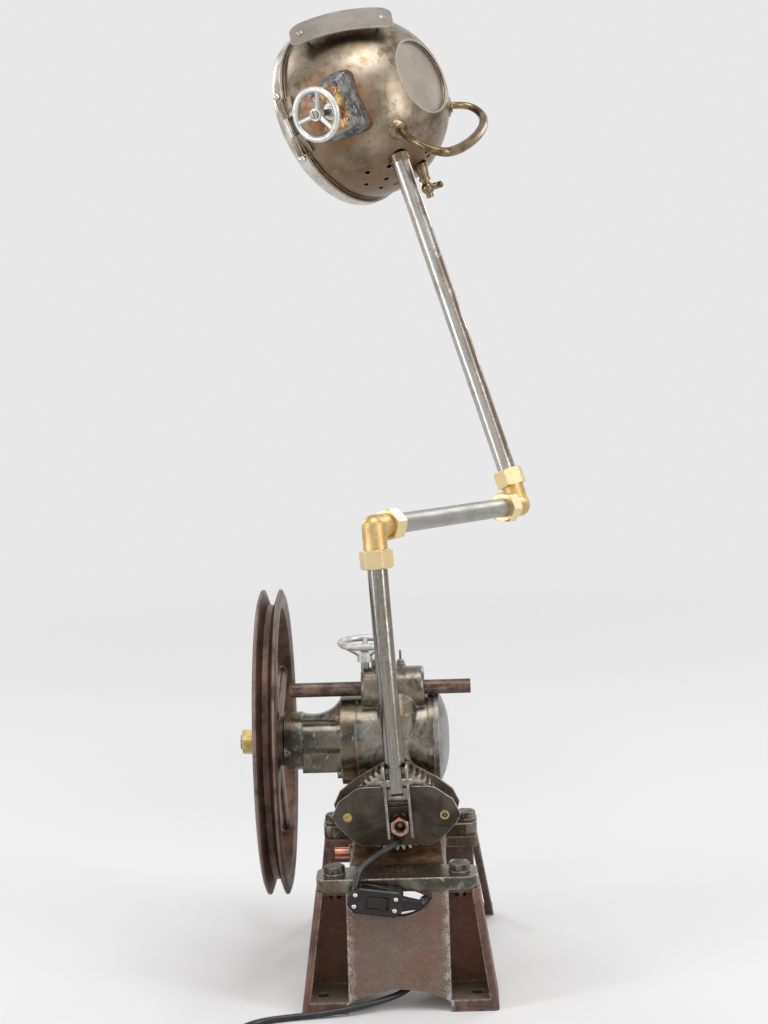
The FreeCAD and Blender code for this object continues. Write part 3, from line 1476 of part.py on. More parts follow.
def cord_bush():
    tip = plate_front - bush_length_out
    profile = [(cord_radius + 0.05, 0), (cord_radius + 1.2, 0), (bush_radius, bush_length_out - 3),
               (bush_radius, bush_length_out), (bush_radius - 1, bush_length_out),
               (bush_radius - 1, bush_length_out + plate_thickness + 1.5),
               (cord_radius + 0.05, bush_length_out + plate_thickness + 1.5)]
    return moved(turned(profile), frame_of(Vector(bush_x, tip, bush_z), X, Y))


coil_layer = coil_pitch
coil_outer = coil_inner + coil_pitch * coil_turns
coil_left = coil_centre.x - coil_outer
upper_points = [Vector(bush_x, plate_front + plate_thickness, bush_z), Vector(bush_x, -99, bush_z),
                Vector(-12, -113, 162.5), Vector(-30, -134, 157), Vector(-43, -150, 148),
                in_switch(switch_in)]
lower_points = [in_switch(switch_out), Vector(21, -157, 116), Vector(31, -151, 116.5),
                Vector(31, -135, 116), Vector(26, -121, 110), Vector(20, -115, 90), Vector(19, -113, 58),
                Vector(24, -118, 29), Vector(8, -138, 14.5), Vector(-20, -156, 10.5),
                Vector(-52, -170.5, 7.6), Vector(-84, -175.5, 4.4), Vector(-120, -181, cord_floor),
                Vector(-150, -191, cord_floor), Vector(-168, -212, cord_floor),
                Vector(-177, -241, cord_floor), Vector(-178.5, -274, cord_floor),
                Vector(-175.5, -308, cord_floor),
                Vector(coil_left, coil_centre.y + cord_diameter, cord_floor)]


def switch_body():
    length, height, depth = switch_half_length, switch_half_height, switch_half_depth
    outline = [(-length, -6), (-length, 5), (-17, height), (24, height), (length, 9), (length, -9),
               (22, -height), (-20, -height)]
    points = [Vector(x, -depth, z) for x, z in outline]
    body = prism(points, Vector(0, 2 * depth, 0))
    rims = [e for e in body.Edges if abs(e.Vertexes[0].Y - e.Vertexes[-1].Y) < 1e-6]
    body = body.makeChamfer(1.6, rims)
    well = block(-9, well_end, -depth - 1, -depth + well_depth, -7, 7)
    body = moved(body.cut(well), switch_frame)
    for end, before in ((upper_points[-1], upper_points[-2]), (lower_points[0], lower_points[1])):
        run = before - end
        run.normalize()
        body = body.cut(cylinder(cord_radius + screw_play, end - run * joint_gap, run, 4 * lead_depth))
    return body


def switch_rocker():
    """Rocker with a shallow V face, that turns on its own axis inside the well."""
    y = -switch_half_depth
    points = [Vector(-8.4, y - 0.4, 0), Vector(2, y + 1.6, 0), Vector(12.4, y - 2.4, 0),
              Vector(12.4, y + 2.6, 0), Vector(6, y + 5, 0), Vector(-2, y + 5, 0), Vector(-8.4, y + 3.4, 0)]
    rocker = prism([p + Vector(0, 0, -6.4) for p in points], Vector(0, 0, 12.8))
    return moved(rocker, switch_frame)


def cord_tube(name, points):
    wire, length, radii = route(points, cord_share)
    tube = tube_along(wire, cord_radius)
    expected = pi * cord_radius ** 2 * length
    print(name, "length %.1f" % length, "radii", " ".join("%.0f" % r for r in radii),
          "volume ratio %.4f" % (tube.Volume / expected))
    return tube, length


def biarc(p0, t0, p1, t1):
    """Two tangent arcs from p0 along t0 to p1 along t1."""
    v = p1 - p0
    t = t0 + t1
    slack = 2 * (1 - t0.dot(t1))
    if slack < 1e-9:
        reach = v.Length ** 2 / (4 * v.dot(t0))
    else:
        reach = (-v.dot(t) + sqrt(v.dot(t) ** 2 + slack * v.dot(v))) / slack
    joint = (p0 + t0 * reach + p1 - t1 * reach) * 0.5
    return [arc_from(p0, t0, joint), arc_from(p1, t1 * -1, joint)]


def arc_from(p, tangent, q):
    chord = q - p
    angle = tangent.getAngle(chord)
    side = tangent - chord * (tangent.dot(chord) / chord.Length ** 2)
    if side.Length < 1e-9:
        return Part.LineSegment(p, q).toShape()
    side.normalize()
    middle = (p + q) * 0.5 + side * (chord.Length / 2.0 * tan(angle / 2.0))
    return Part.Arc(p, middle, q).toShape()


def coil_state(quarter):
    """Radius and height of the coil at a count of quarter turns from its start."""
    quarters = 4 * coil_turns
    if quarter <= quarters:
        return coil_outer - coil_pitch * quarter / 4.0, cord_floor
    if quarter < quarters + 2:
        return coil_inner - coil_pitch / 4.0, cord_floor + coil_layer / 2.0
    return coil_inner + coil_pitch * (quarter - quarters - 2) / 4.0, cord_floor + coil_layer


def coil_point(quarter):
    radius, height = coil_state(quarter)
    angle = pi + pi / 2.0 * quarter
    return coil_centre + Vector(radius * cos(angle), radius * sin(angle), height)


def coil_tangent(quarter):
    angle = pi + pi / 2.0 * quarter
    radius, height = coil_state(quarter)
    total = 8 * coil_turns + 2
    slope = 0.0
    climb = 0.0
    if 0 < quarter < 4 * coil_turns:
        slope = -coil_pitch / 4.0 / (radius * pi / 2.0)
    if 4 * coil_turns + 2 < quarter < total:
        slope = coil_pitch / 4.0 / (radius * pi / 2.0)
    if quarter == 4 * coil_turns + 1:
        climb = 0.75 * coil_layer / (radius * pi / 2.0)
    direction = Vector(-sin(angle) + slope * cos(angle), cos(angle) + slope * sin(angle), climb)
    direction.normalize()
    return direction


def coil_wire():
    quarters = 8 * coil_turns + 2
    first = coil_point(0)
    last = coil_point(quarters)
    lead_in = lower_points[-1]
    edges = [Part.LineSegment(lead_in, first).toShape()]
    for i in range(quarters):
        edges += biarc(coil_point(i), coil_tangent(i), coil_point(i + 1), coil_tangent(i + 1))
    edges.append(Part.LineSegment(last, last + coil_tangent(quarters) * coil_tail).toShape())
    return Part.Wire(edges)


def least_gap(wire):
    """Least gap of the wound tube to itself, measured on points of its axis."""
    points = wire.discretize(Distance=2.0)
    far = int(8 * cord_diameter / 2.0)
    least = 1e9
    for i in range(len(points)):
        for j in range(i + far, len(points)):
            least = min(least, (points[i] - points[j]).Length)
    return least - cord_diameter


upper_tube_cord, upper_cord_length = cord_tube("cord_upper", upper_points)
lower_tube_cord, lower_cord_length = cord_tube("cord_lower", lower_points)
coil_path = coil_wire()
coil_solid = tube_along(coil_path, cord_radius)
print("cord_coil length %.1f" % coil_path.Length, "least gap to itself %.2f" % least_gap(coil_path),
      "volume ratio %.4f" % (coil_solid.Volume / (pi * cord_radius ** 2 * coil_path.Length)))
print("lead in all %.0f" % (upper_cord_length + lower_cord_length + coil_path.Length))


def plug():
    """Flat two-pin plug; its nose meets the end of the coil."""
    quarters = 8 * coil_turns + 2
    start = coil_point(quarters) + coil_tangent(quarters) * coil_tail
    frame = frame_of(start, X, coil_tangent(quarters))
    nose = Part.makeCone(cord_radius + 1.5, plug_half_height - 3, 10)
    body = block(-plug_half_width, plug_half_width, -plug_half_height, plug_half_height, 8, 8 + plug_length)
    body = body.makeFillet(4, [e for e in body.Edges if abs(e.Vertexes[0].Z - e.Vertexes[-1].Z) > 1])
    for side in (-1, 1):
        body = body.fuse(cylinder(plug_pin_radius, Vector(side * plug_pin_half_pitch, 0, plug_length + 7), Z,
                                  plug_pin_length + 1))
    return moved(body.fuse(nose), frame)


save("cord_bush", cord_bush())
save("cord_upper", upper_tube_cord)
save("switch_body", switch_body())
save("switch_rocker", switch_rocker())
save("cord_lower", lower_tube_cord)
save("cord_coil", coil_solid)
save("plug", plug())
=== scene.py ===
import json
import bpy
import bmesh
from math import cos, pi, radians, sin
from mathutils import Matrix, Vector


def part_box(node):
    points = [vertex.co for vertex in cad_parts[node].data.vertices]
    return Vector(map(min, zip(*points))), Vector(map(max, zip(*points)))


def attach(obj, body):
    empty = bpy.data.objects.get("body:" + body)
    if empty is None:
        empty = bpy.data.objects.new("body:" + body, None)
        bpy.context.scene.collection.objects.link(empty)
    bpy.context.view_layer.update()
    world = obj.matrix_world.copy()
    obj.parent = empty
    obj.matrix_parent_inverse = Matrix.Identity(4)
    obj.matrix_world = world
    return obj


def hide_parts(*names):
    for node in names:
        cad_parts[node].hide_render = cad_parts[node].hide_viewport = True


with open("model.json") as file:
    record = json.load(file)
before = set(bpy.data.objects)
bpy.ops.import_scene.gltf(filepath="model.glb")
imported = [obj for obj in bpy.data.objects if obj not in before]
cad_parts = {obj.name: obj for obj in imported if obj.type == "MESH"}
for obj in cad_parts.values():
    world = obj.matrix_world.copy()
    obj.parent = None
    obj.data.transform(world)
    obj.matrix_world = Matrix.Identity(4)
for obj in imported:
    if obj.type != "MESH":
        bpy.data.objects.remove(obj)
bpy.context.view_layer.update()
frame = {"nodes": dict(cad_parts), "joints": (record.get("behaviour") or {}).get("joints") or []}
nodes = frame["nodes"]

# Studio: a pale seamless floor that fades into a pale surround, large soft lamps overhead and at both
# sides, and the camera a little above the foot of the lamp, 2.6 m in front of it.

scene = bpy.context.scene
scene.view_settings.view_transform = "Standard"

camera_place = Vector((0.0731, -2.5986, 0.9004))
camera_turn, camera_dip, camera_roll = radians(1.7), radians(8.5), radians(2.0)
gaze = Vector((-sin(camera_turn) * cos(camera_dip), cos(camera_turn) * cos(camera_dip), -sin(camera_dip)))
level = Vector((cos(camera_turn), sin(camera_turn), 0.0))
rise = level.cross(gaze)
picture_right = level * cos(camera_roll) - rise * sin(camera_roll)
picture_up = level * sin(camera_roll) + rise * cos(camera_roll)
lens = bpy.data.cameras.new("view")
lens.lens = 84.375
lens.sensor_width = 36.0
camera = bpy.data.objects.new("view", lens)
camera_axes = Matrix((picture_right, picture_up, -gaze)).transposed().to_4x4()
camera.matrix_world = Matrix.Translation(camera_place) @ camera_axes
scene.collection.objects.link(camera)
scene.camera = camera


class Value:
    """Something that changes over a surface; a sum on it adds the node that works it out."""

    def __init__(self, finish, socket):
        self.finish = finish
        self.socket = socket

    def sum(self, operation, first, second):
        return self.finish.node("ShaderNodeMath", {"operation": operation}, {0: first, 1: second})

    def __add__(self, other):
        return self.sum("ADD", self, other)

    def __sub__(self, other):
        return self.sum("SUBTRACT", self, other)

    def __rsub__(self, other):
        return self.sum("SUBTRACT", other, self)

    def __mul__(self, other):
        return self.sum("MULTIPLY", self, other)

    def __rmul__(self, other):
        return self.sum("MULTIPLY", other, self)

    def __truediv__(self, other):
        return self.sum("DIVIDE", self, other)

    def __abs__(self):
        return self.finish.node("ShaderNodeMath", {"operation": "ABSOLUTE"}, {0: self})


class Finish:
    """A finish of shader nodes, measured in metres on the object."""

    def __init__(self, name, fixed=None):
        self.material = bpy.data.materials.new(name)
        self.material.use_nodes = True
        self.tree = self.material.node_tree
        self.shader = self.tree.nodes["Principled BSDF"]
        for socket, number in (fixed or {}).items():
            self.shader.inputs[socket].default_value = number
        self.place = self.node("ShaderNodeTexCoord", output="Object")

    def node(self, kind, settings=None, values=None, output=0):
        made = self.tree.nodes.new(kind)
        for setting, choice in (settings or {}).items():
            setattr(made, setting, choice)
        for socket, value in (values or {}).items():
            self.join(value, made.inputs[socket])
        return Value(self, made.outputs[output])

    def join(self, value, socket):
        if isinstance(value, Value):
            self.tree.links.new(value.socket, socket)
        else:
            socket.default_value = value

    def feed(self, socket, value):
        self.join(value, self.shader.inputs[socket])

    def part(self, axis):
        """How far along X, Y or Z a point lies."""
        return self.node("ShaderNodeSeparateXYZ", None, {0: self.place}, output=axis)

    def towards(self, direction, start=(0.0, 0.0, 0.0)):
        """How far a point lies from start along a direction."""
        moved = self.node("ShaderNodeVectorMath", {"operation": "SUBTRACT"}, {0: self.place, 1: tuple(start)})
        return self.node("ShaderNodeVectorMath", {"operation": "DOT_PRODUCT"},
                         {0: moved, 1: tuple(Vector(direction).normalized())}, output="Value")

    def distance(self, spot):
        """How far a point lies from a spot."""
        return self.node("ShaderNodeVectorMath", {"operation": "DISTANCE"}, {0: self.place, 1: tuple(spot)},
                         output="Value")

    def turned(self, direction, stretch):
        """The place measured across and along a direction, with the length along it divided by stretch."""
        along = Vector(direction).normalized()
        across = along.orthogonal().normalized()
        return self.node("ShaderNodeCombineXYZ", None,
            {0: self.towards(across), 1: self.towards(along.cross(across)),
                                                        2: self.towards(along) / stretch})

    def cloud(self, size, detail=5.0, roughness=0.55, shift=0.0, swirl=0.0):
        """Uneven soft patches of about a size in metres."""
        spot = self.place
        if shift:
            spot = self.node("ShaderNodeVectorMath", {"operation": "ADD"},
                {0: spot, 1: (shift, -1.7 * shift, 0.6 * shift)})
        return self.node("ShaderNodeTexNoise", None, {"Vector": spot, "Scale": 1.0 / size, "Detail": detail,
                                                      "Roughness": roughness, "Distortion": swirl})

    def streaks(self, direction, stretch, scale, detail, roughness, swirl=0.0):
        """Uneven streaks drawn out along a direction."""
        return self.node("ShaderNodeTexNoise", None, {"Vector": self.turned(direction, stretch), "Scale": scale,
                                                      "Detail": detail, "Roughness": roughness,
                                                      "Distortion": swirl})

    def step(self, value, low, high):
        """0 below low and 1 above high, with a soft change between."""
        return self.node("ShaderNodeMapRange", {"interpolation_type": "SMOOTHSTEP"},
                         {"Value": value, "From Min": low, "From Max": high})

    def range(self, value, low, high):
        """A 0 to 1 value spread over low to high."""
        return self.node("ShaderNodeMapRange", None, {"Value": value, "To Min": low, "To Max": high})

    def colours(self, mask, first, second):
        """The first colour where the mask is 0 and the second where it is 1."""
        pair = [c if isinstance(c, Value) else (*c, 1.0) for c in (first, second)]
        return self.node("ShaderNodeMix", {"data_type": "RGBA"}, {0: mask, 6: pair[0], 7: pair[1]}, output=2)

    def layers(self, skin, *coats):
        """Colours laid one over another, each where its own mask is 1."""
        for mask, colour in coats:
            skin = self.colours(mask, skin, colour)
        return skin

    def bump(self, height, depth, normal=None):
        values = {"Height": height, "Distance": depth, "Strength": 1.0}
        if normal:
            values["Normal"] = normal
        return self.node("ShaderNodeBump", None, values)

    def rounded(self, radius):
        return self.node("ShaderNodeBevel", {"samples": 4}, {"Radius": radius})

    def edge(self, rounded, low=0.015, high=0.12):
        """1 on the edges that a rounded normal finds."""
        plain = self.node("ShaderNodeNewGeometry", output="Normal")
        agree = self.node("ShaderNodeVectorMath", {"operation": "DOT_PRODUCT"}, {0: rounded, 1: plain},
            output="Value")
        return self.step(1.0 - agree, low, high)

    def facing(self, direction):
        """How squarely the surface faces a direction, from -1 to 1."""
        plain = self.node("ShaderNodeNewGeometry", output="Normal")
        return self.node("ShaderNodeVectorMath", {"operation": "DOT_PRODUCT"},
                         {0: plain, 1: tuple(Vector(direction).normalized())}, output="Value")


world = bpy.data.worlds.new("surround")
scene.world = world
world.use_nodes = True
surround_tree = world.node_tree
soft_light = surround_tree.nodes["Background"]
soft_light.inputs["Color"].default_value = (1.0, 0.99, 0.975, 1.0)
soft_light.inputs["Strength"].default_value = 0.55
pale_wall = surround_tree.nodes.new("ShaderNodeBackground")
pale_wall.inputs["Color"].default_value = (0.81, 0.81, 0.81, 1.0)
pale_wall.inputs["Strength"].default_value = 1.0
path = surround_tree.nodes.new("ShaderNodeLightPath")
seen = path.outputs["Is Camera Ray"]
for ray in ("Is Glossy Ray", "Is Transmission Ray"):
    either = surround_tree.nodes.new("ShaderNodeMath")
    either.operation = "MAXIMUM"
    surround_tree.links.new(seen, either.inputs[0])
    surround_tree.links.new(path.outputs[ray], either.inputs[1])
    seen = either.outputs[0]
choose = surround_tree.nodes.new("ShaderNodeMixShader")
surround_tree.links.new(seen, choose.inputs[0])
surround_tree.links.new(soft_light.outputs[0], choose.inputs[1])
surround_tree.links.new(pale_wall.outputs[0], choose.inputs[2])
surround_tree.links.new(choose.outputs[0], surround_tree.nodes["World Output"].inputs["Surface"])

floor_size = 5.0
paper = Finish("seamless_paper", {"Roughness": 0.75, "Specular IOR Level": 0.25})
paper_dapple = paper.cloud(0.9, 2.0)
paper.feed("Base Color", paper.colours(paper_dapple, (0.80, 0.80, 0.81), (0.84, 0.84, 0.845)))
from_middle = paper.distance((0.0, 0.0, 0.0))
paper.feed("Alpha", 1.0 - paper.step(from_middle, 0.14 * floor_size, 0.55 * floor_size))
floor_mesh = bmesh.new()
bmesh.ops.create_circle(floor_mesh, cap_ends=True, segments=96, radius=floor_size)
floor_data = bpy.data.meshes.new("studio_floor")
floor_mesh.to_mesh(floor_data)
floor_mesh.free()
floor_data.materials.append(paper.material)
floor = bpy.data.objects.new("studio_floor", floor_data)
scene.collection.objects.link(floor)


def softbox(name, place, aim, width, height, power):
    """A large soft lamp that looks from its place at a point."""
    lamp = bpy.data.lights.new(name, "AREA")
    lamp.shape = "RECTANGLE"
    lamp.size = width
    lamp.size_y = height
    lamp.energy = power
    holder = bpy.data.objects.new(name, lamp)
    turn = (Vector(aim) - Vector(place)).to_track_quat("-Z", "Y").to_matrix().to_4x4()
    holder.matrix_world = Matrix.Translation(Vector(place)) @ turn
    scene.collection.objects.link(holder)


softbox("lamp_overhead", (0.2, -0.6, 3.0), (0.0, 0.1, 0.3), 1.6, 1.2, 24.0)
softbox("lamp_right", (2.1, -1.3, 1.3), (0.0, 0.0, 0.5), 0.5, 1.9, 20.0)
softbox("lamp_left", (-2.2, -1.0, 1.2), (0.0, 0.0, 0.5), 0.5, 1.9, 18.0)
softbox("lamp_back_right", (1.5, 1.9, 1.6), (0.0, 0.0, 0.5), 0.7, 1.2, 10.0)
softbox("lamp_back_left", (-1.7, 1.7, 1.5), (0.0, 0.0, 0.6), 0.7, 1.2, 10.0)

# Mains lead: a round black sheath, 7 mm thick. It leaves a bush low in the front plate, swings down to an
# in-line switch, goes through the window and out under the arch of the stand, and ends in a flat plug.

lead_radius = 0.0035
lead_floor = 0.0037
upper_route = [(0.0015, -0.073, 0.1655), (0.0015, -0.099, 0.1655), (-0.012, -0.113, 0.1625),
               (-0.030, -0.134, 0.157), (-0.043, -0.150, 0.148), (-0.04465, -0.1575, 0.12964)]
lower_route = [(0.00063, -0.1575, 0.11767), (0.021, -0.157, 0.116), (0.031, -0.151, 0.1165),
               (0.031, -0.135, 0.116), (0.026, -0.121, 0.110), (0.020, -0.115, 0.090), (0.019, -0.113, 0.058),
               (0.024, -0.118, 0.029), (0.008, -0.138, 0.0145), (-0.020, -0.156, 0.0105),
               (-0.052, -0.1705, 0.0076), (-0.084, -0.1755, 0.0044), (-0.120, -0.181, lead_floor),
               (-0.150, -0.191, lead_floor), (-0.168, -0.212, lead_floor), (-0.177, -0.241, lead_floor),
               (-0.1785, -0.274, lead_floor), (-0.1755, -0.308, lead_floor)]

# The lead that the picture leaves out is wound for storage in a neat flat coil of two layers: in over two
# turns on the floor, up, and out over two turns on top of them.
coil_x, coil_y = -0.126, -0.346
coil_inner, coil_pitch, coil_turns = 0.0335, 0.0078, 2
coil_points_a_turn = 16
coil_outer = coil_inner + coil_pitch * coil_turns
coil_layer = lead_floor + coil_pitch
coil_route = []
for k in range(coil_points_a_turn * coil_turns + 1):
    coil_route.append((coil_outer - coil_pitch * k / coil_points_a_turn, lead_floor))
for k in range(1, coil_points_a_turn // 2):
    share = k / (coil_points_a_turn // 2)
    coil_route.append((coil_inner - 0.002 * sin(pi * share), lead_floor + coil_pitch * share))
for k in range(coil_points_a_turn * coil_turns + 1):
    coil_route.append((coil_inner + coil_pitch * k / coil_points_a_turn, coil_layer))
for k, (radius, height) in enumerate(coil_route):
    angle = pi + 2 * pi * k / coil_points_a_turn
    lower_route.append((coil_x + radius * cos(angle), coil_y + radius * sin(angle), height))
coil_end = (coil_x + coil_outer, coil_y + 0.036, coil_layer)
lower_route.append((coil_end[0], coil_end[1] - 0.018, coil_layer))
lower_route.append(coil_end)

sheath = Finish("lead_sheath", {"Specular IOR Level": 0.5, "Metallic": 0.0})
scuffed = sheath.step(sheath.cloud(0.02, 6.0, 0.65), 0.5, 0.72)
dusted = sheath.step(sheath.facing((0.0, 0.0, 1.0)), 0.2, 1.0) * sheath.cloud(0.008, 4.0)
sheath.feed("Base Color", sheath.colours(dusted * 0.7,
    sheath.colours(scuffed, (0.016, 0.016, 0.017), (0.045, 0.045, 0.047)), (0.10, 0.10, 0.105)))
sheath.feed("Roughness", sheath.range(scuffed, 0.30, 0.50))
sheath.feed("Normal", sheath.bump(sheath.cloud(0.0016, 3.0), 0.00008))


def lead(name, route):
    """A lead on one smooth line through a route."""
    curve = bpy.data.curves.new(name, "CURVE")
    curve.dimensions = "3D"
    curve.bevel_depth = lead_radius
    curve.bevel_resolution = 5
    curve.resolution_u = 10
    curve.use_fill_caps = True
    spline = curve.splines.new("NURBS")
    spline.points.add(len(route) - 1)
    for point, place in zip(spline.points, route):
        point.co = (*place, 1.0)
    spline.order_u = 3
    spline.use_endpoint_u = True
    curve.materials.append(sheath.material)
    piece = bpy.data.objects.new(name, curve)
    scene.collection.objects.link(piece)
    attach(piece, "base")
    return piece


upper_lead = lead("lead_to_switch", upper_route)
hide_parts("cord_upper")
lower_lead = lead("lead_to_plug", lower_route)
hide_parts("cord_lower", "cord_coil")


def add_piece(name, shape, finish, body):
    """Puts a finished shape in the scene as a piece that moves with a body."""
    bmesh.ops.remove_doubles(shape, verts=shape.verts, dist=1e-6)
    bmesh.ops.recalc_face_normals(shape, faces=shape.faces)
    data = bpy.data.meshes.new(name)
    shape.to_mesh(data)
    shape.free()
    for face in data.polygons:
        face.use_smooth = True
    data.set_sharp_from_angle(angle=radians(35))
    data.materials.append(finish.material)
    piece = bpy.data.objects.new(name, data)
    scene.collection.objects.link(piece)
    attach(piece, body)
    return piece


def turned_shape(profile, place, axis, segments):
    """A shape turned on a lathe: pairs of radius and height, closed, round an axis from a place."""
    shape = bmesh.new()
    up = Vector(axis).normalized()
    side = up.orthogonal().normalized()
    corners = [shape.verts.new((radius, 0.0, height)) for radius, height in profile]
    for first, second in zip(corners, corners[1:] + corners[:1]):
        shape.edges.new((first, second))
    bmesh.ops.spin(shape, geom=shape.verts[:] + shape.edges[:], cent=(0, 0, 0), axis=(0, 0, 1), angle=2 * pi,
                   steps=segments, use_merge=True, use_duplicate=False)
    bmesh.ops.remove_doubles(shape, verts=shape.verts, dist=1e-6)
    turn = Matrix((side, up.cross(side), up)).transposed().to_4x4()
    shape.transform(Matrix.Translation(Vector(place)) @ turn)
    return shape


# Plug: flat moulded rubber with two round pins, and a ribbed sleeve that keeps the lead from kinking.

plug_axis = Vector((0.0, 1.0, 0.0))
moulded = Finish("moulded_plug", {"Specular IOR Level": 0.45, "Metallic": 0.0})
moulded_wear = moulded.step(moulded.cloud(0.012, 5.0), 0.5, 0.7)
moulded.feed("Base Color", moulded.colours(moulded_wear, (0.018, 0.018, 0.019), (0.040, 0.040, 0.042)))
moulded.feed("Roughness", moulded.range(moulded_wear, 0.38, 0.55))
moulded.feed("Normal", moulded.bump(moulded.cloud(0.0009, 2.0), 0.00006, moulded.rounded(0.0012)))


def dress(finish, *names):
    """Puts a finish on pieces of the frame that keep their own shape."""
    for name in names:
        for slot in nodes[name].material_slots:
            slot.material = finish.material


dress(moulded, "plug")
sleeve_length, sleeve_bore = 0.026, 0.0036
rib_count, rib_pitch, rib_width, rib_rise = 6, 0.0044, 0.0028, 0.0009
sleeve_profile = [(sleeve_bore, -sleeve_length)]
for k in range(rib_count):
    start = -sleeve_length + rib_pitch * k
    girth = 0.0046 + 0.00035 * k
    sleeve_profile += [(girth, start), (girth, start + rib_width), (girth - rib_rise, start + rib_width + 0.0004),
                       (girth - rib_rise, start + rib_width + 0.0014)]
sleeve_profile += [(0.0068, 0.001), (sleeve_bore, 0.001)]
sleeve = add_piece("plug_sleeve", turned_shape(sleeve_profile, coil_end, plug_axis, 32), moulded, "base")

# A rubber tie goes round the coil on the side away from the plug and holds its two layers together.

tie_size = (0.0262, 0.007, 0.0162)
tie_place = (coil_x - 0.0413, coil_y, 0.0084)
tie_shape = bmesh.new()
bmesh.ops.create_cube(tie_shape, size=1.0)
bmesh.ops.scale(tie_shape, vec=tie_size, verts=tie_shape.verts)
bmesh.ops.bevel(tie_shape, geom=[e for e in tie_shape.edges if abs(e.verts[0].co.y - e.verts[1].co.y) > 0.001],
                offset=0.0045, affect="EDGES", segments=5, profile=0.5, material=-1)
bmesh.ops.delete(tie_shape, geom=[f for f in tie_shape.faces if abs(f.normal.y) > 0.9], context="FACES_ONLY")
bmesh.ops.solidify(tie_shape, geom=tie_shape.faces[:], thickness=0.0009)
bmesh.ops.translate(tie_shape, vec=tie_place, verts=tie_shape.verts)
tie = add_piece("coil_tie", tie_shape, moulded, "base")

# In-line switch: two glossy dark halves screwed together, with a rocker in the face.

bakelite = Finish("switch_moulding", {"Specular IOR Level": 0.35, "Metallic": 0.0, "Coat Roughness": 0.05})
bakelite_edge = bakelite.rounded(0.0016)
bakelite_worn = bakelite.edge(bakelite_edge, 0.03, 0.3) * bakelite.cloud(0.006, 4.0) * 0.6
bakelite.feed("Base Color", bakelite.colours(bakelite_worn,
    bakelite.colours(bakelite.step(bakelite.cloud(0.01, 5.0), 0.45, 0.7), (0.008, 0.007, 0.006),
        (0.018, 0.013, 0.010)), (0.07, 0.055, 0.045)))
bakelite.feed("Roughness", bakelite.range(bakelite.cloud(0.006, 5.0), 0.10, 0.24))
bakelite.feed("Coat Weight", bakelite.range(bakelite.cloud(0.015, 3.0), 0.0, 0.25))
bakelite.feed("Normal", bakelite.bump(bakelite.cloud(0.003, 3.0), 0.00008, bakelite_edge))
dress(bakelite, "switch_body", "switch_rocker")

switch_middle = Vector((-0.0230, -0.1575, 0.1220))
switch_droop = radians(8.0)
switch_half_depth = 0.0105
screw_across, screw_up = 0.0215, 0.0062
switch_turn = Matrix.Translation(switch_middle) @ Matrix.Rotation(switch_droop, 4, "Y")

# The two halves are drawn together by four small steel screws, and a boot holds the lead where it leaves.

screw_steel = Finish("switch_screws")
screw_tone = screw_steel.cloud(0.002, 3.0)
screw_steel.feed("Base Color", screw_steel.colours(screw_tone, (0.55, 0.54, 0.52), (0.80, 0.79, 0.77)))
screw_steel.feed("Metallic", 1.0)
screw_steel.feed("Roughness", screw_steel.range(screw_tone, 0.20, 0.34))
screw_profile = [(0.0, -0.001), (0.0023, -0.001), (0.0023, 0.0004), (0.0016, 0.0010), (0.0, 0.0012)]
for number, (across, height) in enumerate(((-1, 1), (-1, -1), (1, 1), (1, -1))):
    spot = switch_turn @ Vector((screw_across * across, -switch_half_depth, screw_up * height))
    screw = add_piece(f"switch_screw_{number}", turned_shape(screw_profile, spot, (0, -1, 0), 24), screw_steel,
        "base")
boot_profile = [(0.0036, -0.004), (0.0085, -0.004), (0.0085, 0.002), (0.0074, 0.007), (0.0062, 0.014),
    (0.0050, 0.021), (0.0036, 0.022)]
boot = add_piece("switch_boot", turned_shape(boot_profile, (0.0040, -0.1574, 0.1174), (0.992, 0.02, -0.08), 32),
    bakelite, "base")

# Stand: one iron casting with a proud front panel, pockets at its corners, arched openings and four drilled
# feet. Red-brown rust in the pockets, painted lighter deep inside them as painted light against their shade;
# greyer and speckled on the panel, with a painted highlight in pale speckled bands down its side edges; pale
# where its edges have worn.

stand = Finish("stand_iron", {"Specular IOR Level": 0.45})
stand_edge = stand.rounded(0.0035)
stand_worn = stand.edge(stand_edge, 0.02, 0.16)
stand_grain = stand.cloud(0.0018, 6.0, 0.75)
stand_lumps = stand.cloud(0.011, 4.0, 0.6, shift=0.4)
stand_patches = stand.cloud(0.06, 5.0, 0.6, shift=1.3, swirl=0.4)
panel_half = 0.0545
from_panel_middle = abs(stand.part(0))
stand_front = stand.step(stand.part(1), -0.112, -0.128) * stand.step(stand.facing((0, -1, 0)), 0.3, 0.8)
stand_proud = stand_front * stand.step(from_panel_middle, panel_half + 0.004, panel_half + 0.001)
# Painted highlight: a pale speckled band down each side edge of the proud panel, where its rounded corners catch
# the light.
panel_edge_painted_highlight = stand_proud * stand.step(from_panel_middle, panel_half - 0.010, panel_half - 0.001)
stand_pad = stand.step(stand.facing((0, 0, 1)), 0.5, 0.9) * stand.step(stand.part(2), 0.03, 0.015)
rust_red = stand.colours(stand.step(stand_patches, 0.38, 0.62), (0.080, 0.036, 0.026), (0.185, 0.088, 0.056))
panel_grey = stand.colours(stand.step(stand_patches, 0.40, 0.64), (0.175, 0.128, 0.100), (0.190, 0.098, 0.068))
panel_grey = stand.colours(stand.step(stand.cloud(0.05, 3.0, shift=3.1), 0.55, 0.72), panel_grey,
    (0.120, 0.108, 0.066))
# Painted light: deep inside the pockets the rust is painted lighter, to offset the shade that falls there.
pocket_painted_light = stand.step(stand.part(1), -0.128, -0.110) * stand.step(stand.part(1), -0.070, -0.090)
rust_red = stand.colours(pocket_painted_light * stand.range(stand_patches, 0.4, 1.0), rust_red, (0.27, 0.125, 0.075))
skin = stand.colours(stand_proud, rust_red, panel_grey)
